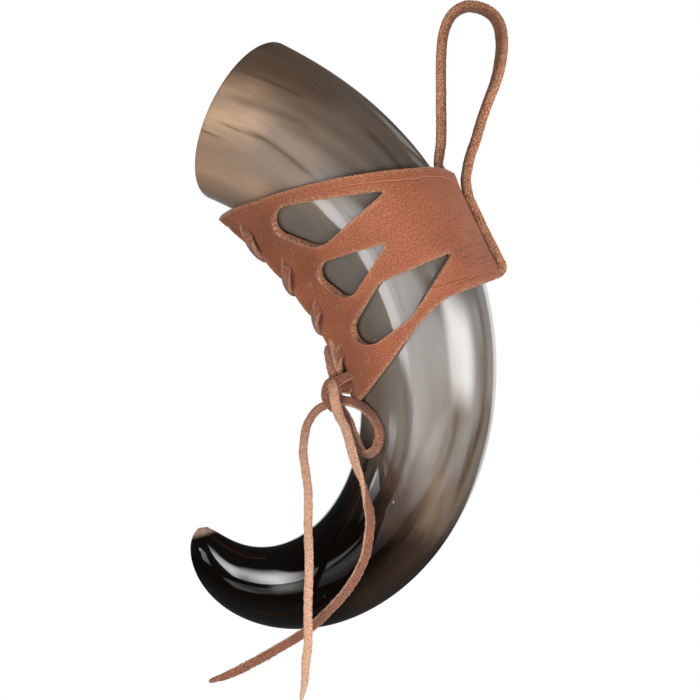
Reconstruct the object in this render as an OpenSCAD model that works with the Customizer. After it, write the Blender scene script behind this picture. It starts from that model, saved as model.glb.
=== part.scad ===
// Drinking horn in a laced leather belt holder.
// The origin is where a belt bears in the top of the belt loop. +Z is up, and the bend of
// the horn lies in the XZ plane with its mouth towards -X. All lengths are in millimetres.

/* [Horn] */
// Length of the horn along its centreline
horn_length = 306; // [285:1:325]
// Outside diameter of the horn at its mouth
mouth_diameter = 72.4; // [68:0.2:76]
// Radius that pulls the swell of the middle in
middle_radius = 28.9; // [27:0.1:31]
// Radius that shapes the lower third
lower_radius = 24; // [22:0.1:26]
// Share of the taper at the tip that is left after it is cut blunt
tip_cut = 0.97; // [0.95:0.005:0.99]
// Wall of the horn at its rim
rim_wall = 2.6; // [2:0.1:3.6]
// Extra wall at the bottom of the hollow
wall_growth = 2.4; // [1:0.1:4]
// Depth of the hollow along the centreline
hollow_depth = 225; // [190:1:240]
// Width of the rounding along both edges of the rim
rim_round = 0.7; // [0.4:0.1:0.9]
// Slope of the centreline at the mouth, below level
mouth_slope_angle = 26.4; // [24:0.2:29]
// Bend radius of the centreline at the mouth
mouth_bend_radius = 300; // [260:5:360]
// Bend radius of the centreline a third of the way along
third_bend_radius = 118; // [112:1:126]
// Bend radius of the centreline two thirds of the way along
lower_bend_radius = 81; // [76:1:88]
// Bend radius of the centreline at the tip
tip_bend_radius = 24; // [22:1:30]
// Angle by which the mouth leans out of the plane of the bend
mouth_lean_angle = 23; // [0:1:28]
// Length of horn over which that lean dies out
lean_reach = 70; // [50:1:90]
// Distance from the belt to the mouth's centre, to the left
mouth_left = 96; // [94:0.5:98]
// Distance from the belt to the mouth's centre, down
mouth_down = 44.7; // [43:0.1:47]

/* [Leather holder] */
// Thickness of the leather
leather = 2.2; // [1.6:0.1:2.6]
// Running gap between the leather and the horn
horn_gap = 1; // [0.6:0.1:1.2]
// Width of the slit between the two laced edges
seam_slit = 0.6; // [0.4:0.1:1]
// Upper edge at the seam, along the horn from its mouth
seam_top = 12; // [10:0.5:16]
// Upper edge at the spine, along the horn from its mouth
spine_top = 71; // [68:0.5:74]
// Drop of the upper edge at the spine, below that
spine_dip = 4.5; // [3:0.1:6]
// Lower edge at the seam, along the horn from its mouth
seam_bottom = 157; // [152:0.5:160]
// Lower edge at the spine, along the horn from its mouth
spine_bottom = 111; // [108:0.5:114]
// Distance of the laced edge from the horn at the ends of the seam
seam_standoff_end = 3; // [2:0.1:4]
// Distance of the laced edge from the horn at the middle of the seam
seam_standoff_middle = 12.5; // [11:0.1:14]
// Distance of the spine from the horn at the edges of the leather
spine_standoff_end = 7.8; // [7.6:0.1:9]
// Distance of the spine from the horn at its middle
spine_standoff_middle = 4.6; // [4.4:0.1:5.4]
// Upper window, corner nearest the seam: along the horn, towards the seam, radius
upper_window_corner = [50.6, 26, 6.5]; // [-30:0.1:120]
// Upper window, round end: along the horn, towards the seam, radius
upper_window_round = [60.3, 19.6, 8.5]; // [-30:0.1:120]
// Upper window, point: along the horn, towards the seam, radius
upper_window_point = [66.6, -9, 0.8]; // [-30:0.1:120]
// Middle window, corner nearest the seam: along the horn, towards the seam, radius
middle_window_corner = [82.1, 26.3, 5.5]; // [-30:0.1:120]
// Middle window, round end: along the horn, towards the seam, radius
middle_window_round = [90.6, 23.3, 5.5]; // [-30:0.1:120]
// Middle window, point: along the horn, towards the seam, radius
middle_window_point = [83.8, 3.3, 0.8]; // [-30:0.1:120]
// Lower window, corner nearest the seam: along the horn, towards the seam, radius
lower_window_corner = [116.3, 21.1, 6.8]; // [-30:0.1:120]
// Lower window, round end: along the horn, towards the seam, radius
lower_window_round = [107.6, 8.3, 9.5]; // [-30:0.1:120]
// Lower window, point: along the horn, towards the seam, radius
lower_window_point = [98.4, -20.2, 0.8]; // [-30:0.1:120]

/* [Lacing] */
// Diameter of the lacing thong
lace = 4; // [3:0.1:4.4]
// First stitch hole on the front, along the horn from its mouth
first_stitch = 30.5; // [29:0.5:33]
// Length of horn between two stitches
stitch_pitch = 31; // [28:0.5:32]
// Whole turns of the lace round the seam
stitch_turns = 3; // [2:1:3]
// Gap between the lace and the leather that it lies on
lace_gap = 0.3; // [0.2:0.05:0.5]
// Gap between the lace inside the seam and the horn
lace_horn_gap = 1.4; // [1:0.1:2]
// Hole of the lace's other end, along the horn from its mouth
stub_station = 139.5; // [136:0.5:142]
// Angle of that hole round the horn from the seam
stub_angle = 15; // [12:1:18]
// Distance of the knot from the lower end of the seam, to the left
knot_left = 8.5; // [7.5:0.1:10]
// Distance of the knot in front of the seam
knot_front = 6; // [5:0.1:8]
// Distance of the knot above the lower end of the seam
knot_up = 3.5; // [2:0.1:5]
// Half the thickness of the knot
knot_radius = 3.8; // [3.2:0.1:4.2]

/* [Belt thong] */
// Diameter of the belt thong
thong = 4.4; // [3.6:0.1:4.4]
// Gap between the thong and the leather or the horn
thong_gap = 0.3; // [0.2:0.05:0.4]
// Running gap between the tucked ends and the horn
tuck_gap = 1; // [0.8:0.05:1.1]
// Place where the loop meets the run down the spine, along the horn from its mouth
run_top = 84; // [82:0.5:87]
// Place where the thong turns in through its slot, along the horn from its mouth
run_bottom = 105; // [103:0.5:106]
// Length of each tucked end along the horn
tuck_length = 9; // [6:0.5:11]

/* [Hidden] */

horn_colour = [0.36, 0.31, 0.26];
leather_colour = [0.42, 0.22, 0.14];
lace_colour = [0.50, 0.36, 0.26];
thong_colour = [0.47, 0.33, 0.24];

function unit(v) = v / norm(v);

// Centreline of the horn. Its curvature runs as a cubic through the four bend radii.
line_steps = 102;
line_step = horn_length / line_steps;
curvatures = [1 / mouth_bend_radius, 1 / third_bend_radius, 1 / lower_bend_radius, 1 / tip_bend_radius];
function curvature(u) =
    curvatures[0] * (1 - 3 * u) * (2 - 3 * u) * (1 - u) / 2
    + curvatures[1] * 9 * u * (2 - 3 * u) * (1 - u) / 2
    + curvatures[2] * 9 * u * (3 * u - 1) * (1 - u) / 2
    + curvatures[3] * u * (3 * u - 1) * (3 * u - 2) / 2;
function lean_slope(s) = tan(mouth_lean_angle) * max(0, 1 - s / lean_reach);
function flat_share(s) = 1 / sqrt(1 + lean_slope(s) * lean_slope(s));
heading_table = [
    for (i = 0, a = mouth_slope_angle; i <= line_steps;
        a = a + curvature((i + 0.5) / line_steps) * line_step * 180 / PI, i = i + 1)
        [i * line_step, a]
];
function heading(s) = lookup(s, heading_table);
function line_move(i) = line_step * flat_share((i + 0.5) * line_step)
    * [cos(heading((i + 0.5) * line_step)), -sin(heading((i + 0.5) * line_step))];
line_table = [
    for (i = 0, p = [-mouth_left, -mouth_down]; i <= line_steps; p = p + line_move(i), i = i + 1)
        p
];
x_table = [for (i = [0 : line_steps]) [i * line_step, line_table[i][0]]];
z_table = [for (i = [0 : line_steps]) [i * line_step, line_table[i][1]]];
function lean(s) = lean_reach / 2 * tan(mouth_lean_angle) * pow(max(0, 1 - s / lean_reach), 2);
function centre(s) = [lookup(s, x_table), lean(s), lookup(s, z_table)];
function along(s) = unit([cos(heading(s)), -lean_slope(s), -sin(heading(s))]);
function inward(s) = unit([along(s)[2], 0, -along(s)[0]]);
function sideways(s) = cross(along(s), inward(s));

// Taper of the horn: a curve through five handles, from the mouth to the tip.
taper_steps = 60;
middle_handle = 0.65;
lower_handle = 0.5;
taper_handles = [
    [0, mouth_diameter / 2],
    [middle_handle * horn_length, middle_radius],
    [lower_handle * horn_length, lower_radius],
    [horn_length, lower_radius],
    [horn_length, 0]
];
function taper(t) =
    pow(1 - t, 4) * taper_handles[0]
    + 4 * pow(1 - t, 3) * t * taper_handles[1]
    + 6 * pow(1 - t, 2) * t * t * taper_handles[2]
    + 4 * (1 - t) * pow(t, 3) * taper_handles[3]
    + pow(t, 4) * taper_handles[4];
taper_table = [for (i = [0 : taper_steps]) taper(i / taper_steps)];
function radius(s) = lookup(s, taper_table);

// Closed skin over a list of rings that all have the same number of points.
function skin_sides(rings) = let (n = len(rings[0]))
    [for (i = [0 : len(rings) - 2], k = [0 : n - 1], half = [0, 1])
        let (a = i * n + k, b = i * n + (k + 1) % n)
        half == 0 ? [a, b, b + n] : [a, b + n, a + n]];
function flat_points(rings) = [for (ring = rings) for (p = ring) p];
module skin(rings) {
    n = len(rings[0]);
    last = (len(rings) - 1) * n;
    first_cap = [for (k = [1 : n - 2]) [0, k + 1, k]];
    last_cap = [for (k = [1 : n - 2]) [last, last + k, last + k + 1]];
    polyhedron(flat_points(rings), concat(skin_sides(rings), first_cap, last_cap), convexity = 6);
}

// Round tube along a path. Each ring turns about the path from its own upright direction.
function path_tangent(path, i) =
    unit(path[min(i + 1, len(path) - 1)] - path[max(i - 1, 0)]);
function tube_ring(p, t, upright, r, sides) =
    let (b = unit(cross(t, upright)), n = cross(b, t))
    [for (k = [0 : sides - 1]) p + r * (cos(360 * k / sides) * b + sin(360 * k / sides) * n)];
module tube(path, radii, uprights, sides) {
    skin([for (i = [0 : len(path) - 1])
        tube_ring(path[i], path_tangent(path, i), uprights[i], radii[i], sides)]);
}
function all_same(value, path) = [for (p = path) value];

// Smooth curve through hand-placed points, with some steps between each pair.
function spline_point(a, b, c, d, t) =
    b + (c - a) * t / 2
    + (2 * a - 5 * b + 4 * c - d) * t * t / 2
    + (3 * b - a - 3 * c + d) * t * t * t / 2;
function spline(points, steps) = let (last = len(points) - 1) concat(
    [for (i = [0 : last - 1], k = [0 : steps - 1])
        let (before = points[max(i - 1, 0)], after = points[min(i + 2, last)])
        spline_point(before, points[i], points[i + 1], after, k / steps)],
    [points[last]]);

// Section of the leather round the horn. An angle of 0 is the seam and 180 is the spine.
// Two flat flaps meet at the seam, and a soft ridge over the tucked thong runs down the spine.
function folded(angle) = min(angle, 360 - angle);
function leather_reach(s) = radius(s) + horn_gap + leather;
seam_crown_shift = 10;
seam_overrun = 8;
seam_crown = (seam_top + seam_bottom) / 2 - seam_crown_shift;
seam_half = (seam_bottom - seam_top) / 2 + seam_overrun;
function seam_standoff(s) = seam_standoff_end
    + (seam_standoff_middle - seam_standoff_end) * (1 - pow((s - seam_crown) / seam_half, 2));
spine_middle = (spine_top + spine_bottom) / 2;
spine_half = (spine_bottom - spine_top) / 2;
function spine_standoff(s) = spine_standoff_middle
    + (spine_standoff_end - spine_standoff_middle) * pow((s - spine_middle) / spine_half, 2);
function flap_angle(s) = acos(min(1, leather_reach(s) / (radius(s) + seam_standoff(s))));
ridge_width = 32;
function near_spine(angle) = (1 + cos(180 * min(1, (180 - folded(angle)) / ridge_width))) / 2;
function ridge(s, angle) = max(0, spine_standoff(s) - horn_gap - leather) * near_spine(angle);
function leather_radius(s, angle, depth) = folded(angle) <= 90
    ? (leather_reach(s) - depth) / cos(max(0, flap_angle(s) - folded(angle)))
    : leather_reach(s) - depth + ridge(s, angle);
function leather_point(s, angle, depth) = centre(s)
    + leather_radius(s, angle, depth) * (cos(angle) * inward(s) + sin(angle) * sideways(s));

// Upper and lower edges of the leather, as places along the horn.
// The lower edge makes most of its rise in a sweep that ends before the spine.
lower_sweep = 0.92;
sweep_angle = 120;
function edge_top(angle) = seam_top + (spine_top - seam_top) * sin(angle / 2)
    + spine_dip * near_spine(angle);
function swept(angle) = (1 - cos(180 * min(1, folded(angle) / sweep_angle))) / 2;
function edge_bottom(angle) = seam_bottom - (seam_bottom - spine_bottom)
    * (lower_sweep * swept(angle) + (1 - lower_sweep) * folded(angle) / 180);

// Places on the seam and on the spine
function seam_edge(s) = centre(s) + (radius(s) + seam_standoff(s)) * inward(s);
function spine_place(s, lift) = centre(s) - (radius(s) + lift) * inward(s);

// The lace winds round the seam on an oval that clears the leather and the horn.
function wind_inside(s) = seam_standoff(s) - lace_horn_gap - lace / 2;
wind_outside = lace / 2 + lace_gap;
function wind_middle(s) = (wind_inside(s) - wind_outside) / 2;
function wind_reach(s) = (wind_inside(s) + wind_outside) / 2;
function wind_half(s) = let (a = flap_angle(s))
    max(0, wind_middle(s)) / tan(a) + wind_outside / sin(a);
hole_turn = 60;
function wind_station(turn) = first_stitch + stitch_pitch * (turn - hole_turn) / 360;
function wind_point(turn) = let (s = wind_station(turn))
    seam_edge(s)
    - (wind_middle(s) + wind_reach(s) * cos(turn)) * inward(s)
    - wind_half(s) * sin(turn) * sideways(s);
wind_start = -40;
wind_end = 360 * stitch_turns + 195;
wind_step = 15;
wind_turns = [wind_start : wind_step : wind_end];
knot_place = seam_edge(seam_bottom) + [-knot_left, -knot_front, knot_up];
winding = [for (turn = wind_turns) wind_point(turn)];
winding_end = winding[len(winding) - 1];
lead_shares = [0.35, 0.7, 1];
lead_bulge = [-1, -1, 0];
winding_lead = [for (share = lead_shares)
    winding_end + share * (knot_place - winding_end) + sin(180 * share) * lead_bulge];
winding_path = concat(winding, winding_lead);
winding_uprights = concat(
    [for (turn = wind_turns) along(wind_station(turn))],
    all_same(along(wind_station(wind_end)), winding_lead));
half_turn = 12;
winding_gap = min([for (i = [0 : len(winding) - 1], j = [0 : len(winding) - 1])
    if (j - i >= half_turn) norm(winding[i] - winding[j])]) - lace;
echo(least_gap_of_the_winding_to_itself = winding_gap);

// Hollow of the horn and the rings of its closed cup, from the tip over the rim to the bottom
horn_sides = 40;
outer_rings = 44;
inner_rings = 26;
hollow_end = 0.997;
hollow_fullness = 8;
function horn_ring(s, r) = [for (k = [0 : horn_sides - 1])
    centre(s) + r * (cos(360 * k / horn_sides) * inward(s) + sin(360 * k / horn_sides) * sideways(s))];
function hollow_radius(s) = let (u = s / hollow_depth)
    (radius(s) - rim_wall - wall_growth * u) * sqrt(1 - pow(u, hollow_fullness));
function outer_ring(t) = horn_ring(taper(t)[0], taper(t)[1]);
horn_rings = concat(
    [for (i = [0 : outer_rings - 1]) outer_ring(tip_cut * (1 - i / outer_rings))],
    [
        horn_ring(rim_round, radius(rim_round)),
        horn_ring(0, radius(0) - rim_round),
        horn_ring(0, radius(0) - rim_wall + rim_round),
        horn_ring(rim_round, hollow_radius(rim_round))
    ],
    [for (i = [1 : inner_rings]) let (s = hollow_depth * hollow_end * sin(90 * i / inner_rings))
        horn_ring(s, hollow_radius(s))]);

module horn() {
    color(horn_colour) skin(horn_rings);
}

// One piece of leather, as rings that run from its lower edge to its upper edge
leather_rings = 20;
slit_angle = asin(seam_slit / mouth_diameter);
front_angles = [slit_angle, 12, 24, 36, 48, 60, 75, 90, 105, 120, 135, 148, 156, 164, 172];
leather_angles = concat(front_angles, [180],
    [for (i = [1 : len(front_angles)]) 360 - front_angles[len(front_angles) - i]]);
function leather_station(angle, share) =
    edge_bottom(angle) + (edge_top(angle) - edge_bottom(angle)) * share;
function leather_ring(share) = concat(
    [for (a = leather_angles) leather_point(leather_station(a, share), a, 0)],
    [for (i = [1 : len(leather_angles)]) let (a = leather_angles[len(leather_angles) - i])
        leather_point(leather_station(a, share), a, leather)]);
function strip_cap(base, n) = [for (j = [0 : n / 2 - 2], half = [0, 1])
    half == 0
        ? [base + j, base + j + 1, base + n - 2 - j]
        : [base + j, base + n - 2 - j, base + n - 1 - j]];
function turned(faces) = [for (f = faces) [f[0], f[2], f[1]]];
module leather_shell() {
    rings = [for (i = [0 : leather_rings]) leather_ring(i / leather_rings)];
    n = len(rings[0]);
    polyhedron(flat_points(rings), concat(skin_sides(rings), turned(strip_cap(0, n)),
        strip_cap(leather_rings * n, n)), convexity = 8);
}

// A window is a rounded outline cut square to the plane of the bend, through one side.
window_sides = 32;
window_reach = mouth_diameter;
function face_half(spot) = sqrt(pow(leather_reach(spot[0]), 2) - pow(spot[1], 2));
function face_place(spot, side) = let (s = spot[0])
    let (p = centre(s) + spot[1] * inward(s) + side * face_half(spot) * sideways(s)) [p[0], p[2]];
module window_outline(spots, side) {
    hull() {
        for (spot = spots)
            translate(face_place(spot, side)) circle(r = spot[2], $fn = window_sides);
    }
}
module window(spots, side) {
    translate([0, side < 0 ? 0 : window_reach, 0])
        rotate([90, 0, 0]) linear_extrude(window_reach) window_outline(spots, side);
}
windows = [
    [upper_window_corner, upper_window_round, upper_window_point],
    [middle_window_corner, middle_window_round, middle_window_point],
    [lower_window_corner, lower_window_round, lower_window_point]
];

module leather_holder() {
    color(leather_colour) difference() {
        leather_shell();
        for (spots = windows, side = [-1, 1])
            window(spots, side);
        lace_winding(lace / 2 + lace_gap);
        stub_hole();
        thong_slot();
    }
}

// Winding of the lace through the seam, and the hole of its other end
lace_sides = 6;
module lace_winding(r) {
    tube(winding_path, all_same(r, winding_path), winding_uprights, lace_sides);
}
module seam_lacing() {
    color(lace_colour) lace_winding(lace / 2);
}
function flap_out(s) = cos(flap_angle(s)) * inward(s) - sin(flap_angle(s)) * sideways(s);
stub_mouth = leather_point(stub_station, 360 - stub_angle, 0);
stub_out = flap_out(stub_station);
stub_seat = leather - lace_gap;
stub_drop = [0, 0, -2];
stub_path = spline([
    stub_mouth - stub_seat * stub_out,
    stub_mouth + lace / 4 * stub_out,
    stub_mouth + lace * stub_out + stub_drop,
    knot_place
], 4);
ball_sides = 24;
module stub_hole() {
    hull() {
        for (side = [-1, 1])
            translate(stub_mouth + side * 2 * leather * stub_out)
                sphere(d = lace + 2 * lace_gap, $fn = ball_sides);
    }
}
tube_sides = 8;
front = [0, -1, 0];
module lace_stub() {
    color(lace_colour)
        tube(stub_path, all_same(lace / 2, stub_path), all_same(front, stub_path), tube_sides);
}

// Knot, bow and free ends of the lace, with routes measured from the knot
knot_lobes = [[-1.5, 0, 3.5], [1.5, -0.5, -3]];
module lace_knot() {
    color(lace_colour) hull() {
        for (lobe = knot_lobes)
            translate(knot_place + lobe) sphere(r = knot_radius, $fn = ball_sides);
    }
}
bow_route = [
    [1, -1, -1], [9, -5.5, -2.5], [14.5, -12, -6], [18, -16, -11], [19, -17.5, -16], [17.5, -17.5, -21],
    [14, -15, -23.5], [11, -11.5, -21], [8.5, -7, -15.5], [5.5, -3, -9], [2, -1, -4]
];
left_route = [
    [-1, -1, -2], [-7, -3, -5.5], [-11, -5, -11.5], [-12.5, -7, -19], [-12.5, -8, -25], [-11.5, -9, -31.5],
    [-10.5, -11, -39.5], [-10.5, -15, -54], [-10, -19, -68], [-10.5, -20.5, -84.5], [-10.5, -20, -101],
    [-11.5, -19, -109.5], [-12, -18, -118], [-13.5, -17, -125]
];
right_route = [
    [0, -2, -4], [3, -7, -7], [5, -12, -12.5], [7, -15, -20], [9, -17, -27], [12, -19, -35],
    [14, -21, -43.5], [15, -22, -49.5], [14.5, -22, -56.5], [13, -21, -65], [9.5, -20, -73],
    [5, -18.5, -80], [-1, -16, -87], [-8.5, -13, -94.5], [-15, -11, -99.5], [-24, -9, -105],
    [-34.5, -7, -111], [-43.5, -6, -115.5], [-52, -5, -118.5]
];
tip_share = 0.4;
taper_rings = 5;
function from_knot(route) = [for (p = spline(route, 2)) knot_place + p];
function tail_radii(path) = [for (i = [0 : len(path) - 1])
    lace / 2 * (tip_share + (1 - tip_share) * min(1, (len(path) - 1 - i) / taper_rings))];
module lace_bow() {
    path = from_knot(bow_route);
    color(lace_colour) tube(path, all_same(lace / 2, path), all_same(front, path), tube_sides);
}
module lace_tail(route) {
    path = from_knot(route);
    color(lace_colour) tube(path, tail_radii(path), all_same(front, path), tube_sides);
}
module lace_tail_left() {
    lace_tail(left_route);
}
module lace_tail_right() {
    lace_tail(right_route);
}

// Belt thong: a loop that swings on its two ends, a run down the spine, and two tucked ends
thong_sides = 12;
entry_rise = 1.2;
function run_lift(s) = spine_standoff(s) + thong_gap + thong / 2;
function tuck_radius(s) = min(thong / 2, (spine_standoff(s) - leather - tuck_gap - thong_gap) / 2);
function tuck_lift(s) = tuck_gap + tuck_radius(s);
function tuck_place(s) = spine_place(s, tuck_lift(s));
function outer_rate(s, lift) = 1 + (radius(s) + lift) * curvature(s / horn_length);
loop_start = spine_place(spine_top - entry_rise, tuck_lift(spine_top));
loop_end = spine_place(run_top, run_lift(run_top));
loop_route = [
    [-13, 0, -54], [-13, 0, -37], [-13, 0, -20], [-12, 0, -9.5], [-9, 0, -2], [-4, 0, 1.8], [1, 0, 2.2],
    [7, 0, 0], [11, 0, -4.5], [12.5, 0, -12], [12, 0, -20], [10, 0, -29], [7, 0, -37], [4, 0, -45.5],
    [1.5, 0, -54], [-0.5, 0, -60], [-1.5, 0, -66.5], [-1.5, 0, -72]
];
loop_path = spline(concat([loop_start], loop_route, [loop_end]), 2);
round_steps = [85, 60, 30];
function round_start(path) = [for (a = round_steps)
    path[0] - thong / 2 * sin(a) * unit(path[1] - path[0])];
function reversed(list) = [for (i = [1 : len(list)]) list[len(list) - i]];
end_radii = [for (a = round_steps) thong / 2 * cos(a)];
module belt_loop() {
    path = concat(round_start(loop_path), loop_path, reversed(round_start(reversed(loop_path))));
    radii = concat(end_radii, all_same(thong / 2, loop_path), reversed(end_radii));
    color(thong_colour) tube(path, radii, all_same(front, path), thong_sides);
}
joint_room = thong / 2 + thong_gap;
run_steps = 8;
turn_steps = 8;
tuck_steps = 4;
run_start = run_top + joint_room / outer_rate(run_top, run_lift(run_top));
turn_out = run_lift(run_bottom);
turn_in = tuck_lift(run_bottom);
turn_place = spine_place(run_bottom, (turn_out + turn_in) / 2);
run_stations = [for (i = [0 : run_steps]) run_start + (run_bottom - run_start) * i / run_steps];
under_stations = [for (i = [1 : tuck_steps]) run_bottom - tuck_length * i / tuck_steps];
turn_shares = [for (i = [1 : turn_steps]) i / turn_steps];
function turn_point(share) = turn_place + (turn_out - turn_in) / 2
    * (sin(180 * share) * along(run_bottom) - cos(180 * share) * inward(run_bottom));
function turn_radius(share) = thong / 2 + (tuck_radius(run_bottom) - thong / 2) * share;
module belt_thong_run() {
    path = concat(
        [for (s = run_stations) spine_place(s, run_lift(s))],
        [for (share = turn_shares) turn_point(share)],
        [for (s = under_stations) tuck_place(s)]);
    radii = concat(
        all_same(thong / 2, run_stations),
        [for (share = turn_shares) turn_radius(share)],
        [for (s = under_stations) tuck_radius(s)]);
    color(thong_colour) tube(path, radii, all_same(front, path), thong_sides);
}
slot_shares = [for (i = [1 : turn_steps - 1]) i / turn_steps];
module thong_slot() {
    path = [for (share = slot_shares) turn_point(share)];
    radii = [for (share = slot_shares) turn_radius(share) + thong_gap];
    tube(path, radii, all_same(front, path), thong_sides);
}
tuck_start = spine_top - entry_rise + joint_room / outer_rate(spine_top, tuck_lift(spine_top));
tuck_stations = [for (i = [0 : tuck_steps]) tuck_start + tuck_length * i / tuck_steps];
module belt_thong_tuck() {
    path = [for (s = tuck_stations) tuck_place(s)];
    radii = [for (s = tuck_stations) tuck_radius(s)];
    color(thong_colour) tube(path, radii, all_same(front, path), thong_sides);
}

horn();
leather_holder();
seam_lacing();
lace_stub();
lace_knot();
lace_bow();
lace_tail_left();
lace_tail_right();
belt_loop();
belt_thong_run();
belt_thong_tuck();
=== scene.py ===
import math

import bpy
import numpy as np
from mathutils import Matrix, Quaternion, Vector, noise
from mathutils.geometry import delaunay_2d_cdt


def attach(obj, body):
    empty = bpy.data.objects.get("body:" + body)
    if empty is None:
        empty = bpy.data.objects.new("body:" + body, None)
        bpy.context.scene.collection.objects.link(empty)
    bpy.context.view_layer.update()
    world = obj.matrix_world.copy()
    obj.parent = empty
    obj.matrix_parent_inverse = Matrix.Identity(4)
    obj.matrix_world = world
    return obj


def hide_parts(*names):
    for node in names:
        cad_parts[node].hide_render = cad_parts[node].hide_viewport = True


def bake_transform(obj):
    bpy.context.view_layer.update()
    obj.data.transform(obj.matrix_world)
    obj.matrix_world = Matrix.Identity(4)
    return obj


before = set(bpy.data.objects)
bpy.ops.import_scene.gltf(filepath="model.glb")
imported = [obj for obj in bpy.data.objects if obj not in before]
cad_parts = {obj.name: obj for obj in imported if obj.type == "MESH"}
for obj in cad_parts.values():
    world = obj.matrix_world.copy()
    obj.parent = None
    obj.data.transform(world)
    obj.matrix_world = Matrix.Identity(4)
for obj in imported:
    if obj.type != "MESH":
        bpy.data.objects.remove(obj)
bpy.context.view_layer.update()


# Horn: a cattle horn, hollowed from the mouth, scraped thin at the rim and polished all over.
# Its bend lies in the XZ plane and the mouth leans back out of it. It sits in the leather by its
# taper alone.
horn_length = 0.306
mouth_x, mouth_z = -0.096, -0.0447
mouth_radius = 0.0362
mouth_heading = math.radians(26.4)
lean_reach = 0.070
lean_tangent = math.tan(math.radians(23))
rim_wall = 0.0026
rim_round = 0.0009
wall_growth = 0.0024
hollow_depth = 0.225
hollow_first, hollow_end = 0.03, 0.997
tip_cut = 0.97
tip_bulge = 0.0011
swell_height, swell_grain = 0.00012, 26
curvatures = 1 / np.array([0.300, 0.118, 0.081, 0.024])
taper_handles = np.array([[0, mouth_radius], [0.65 * horn_length, 0.0289], [0.5 * horn_length, 0.024],
                          [horn_length, 0.024], [horn_length, 0]])
station_count, taper_count = 1225, 1501
outer_rows, inner_rows, horn_sides = 230, 80, 260


def curvature(u):
    """Curvature of the centreline at a share of its length: a cubic through four values."""
    return (curvatures[0] * (1 - 3 * u) * (2 - 3 * u) * (1 - u) / 2
            + curvatures[1] * 9 * u * (2 - 3 * u) * (1 - u) / 2
            + curvatures[2] * 9 * u * (3 * u - 1) * (1 - u) / 2
            + curvatures[3] * u * (3 * u - 1) * (3 * u - 2) / 2)


def lean_slope(s):
    """How steeply the centreline leans out of the plane of the bend."""
    return lean_tangent * np.maximum(0, 1 - s / lean_reach)


def running_sum(start, steps):
    return start + np.concatenate([[0], np.cumsum(steps)])


def run_along(path):
    """Distance along a path at each of its points."""
    return running_sum(0, np.linalg.norm(np.diff(path, axis=0), axis=1))


def columns(*values):
    """Points from lists of their coordinates."""
    return np.stack(values, -1)


def unit(v):
    return v / np.linalg.norm(v, axis=-1, keepdims=True)


stations = np.linspace(0, horn_length, station_count)
between = (stations[:-1] + stations[1:]) / 2
station_step = stations[1]
headings = running_sum(mouth_heading, curvature(between / horn_length) * station_step)
flat_step = station_step / np.sqrt(1 + lean_slope(between) ** 2)
between_headings = np.interp(between, stations, headings)
line_x = running_sum(mouth_x, flat_step * np.cos(between_headings))
line_z = running_sum(mouth_z, -flat_step * np.sin(between_headings))


def horn_frame(s):
    """Centre of the horn at stations along it, with the ways along it, to the seam and to the back."""
    s = np.asarray(s, float)
    heading = np.interp(s, stations, headings)
    lean = lean_reach / 2 * lean_tangent * np.maximum(0, 1 - s / lean_reach) ** 2
    centre = columns(np.interp(s, stations, line_x), lean, np.interp(s, stations, line_z))
    along = unit(columns(np.cos(heading), -lean_slope(s), -np.sin(heading)))
    inward = unit(columns(along[..., 2], 0 * s, -along[..., 0]))
    return centre, along, inward, np.cross(along, inward)


taper_t = np.linspace(0, 1, taper_count)[:, None]
taper = sum(math.comb(4, k) * (1 - taper_t) ** (4 - k) * taper_t ** k * handle
            for k, handle in enumerate(taper_handles))


def horn_radius(s):
    return np.interp(s, taper[:, 0], taper[:, 1])


def hollow_radius(s):
    u = s / hollow_depth
    return (horn_radius(s) - rim_wall - wall_growth * u) * np.sqrt(np.maximum(0, 1 - u ** 8))


def in_scene(name, data):
    """New object in the scene."""
    made = bpy.data.objects.new(name, data)
    bpy.context.scene.collection.objects.link(made)
    return made


def make_mesh(name, material, points, faces, values, sharp=()):
    """Smooth mesh with named numbers or vectors on its points, for its material, and sharp edges."""
    mesh = bpy.data.meshes.new(name)
    mesh.materials.append(material)
    mesh.from_pydata([tuple(p) for p in points], [], faces)
    mesh.polygons.foreach_set("use_smooth", [True] * len(mesh.polygons))
    for key, value in values.items():
        value = np.asarray(value, np.float32)
        plain = value.ndim == 1
        named = mesh.attributes.new(key, "FLOAT" if plain else "FLOAT_VECTOR", "POINT")
        named.data.foreach_set("value" if plain else "vector", value.ravel())
    for edge in mesh.edges:
        edge.use_edge_sharp = tuple(sorted(edge.vertices)) in sharp
    mesh.update()
    return in_scene(name, mesh)


def ring_faces(rings, sides):
    """Quads between rings of points, with a flat cap on each end."""
    faces = []
    for low in range(0, (rings - 1) * sides, sides):
        for k in range(sides):
            after = (k + 1) % sides
            faces.append((low + k, low + after, low + sides + after, low + sides + k))
    faces.append(tuple(range(sides))[::-1])
    faces.append(tuple(range((rings - 1) * sides, rings * sides)))
    return faces


def rough(points, scale):
    """Smooth noise at points, from about -1 to 1."""
    return np.array([noise.noise(Vector(p) * scale) for p in points])


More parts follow.
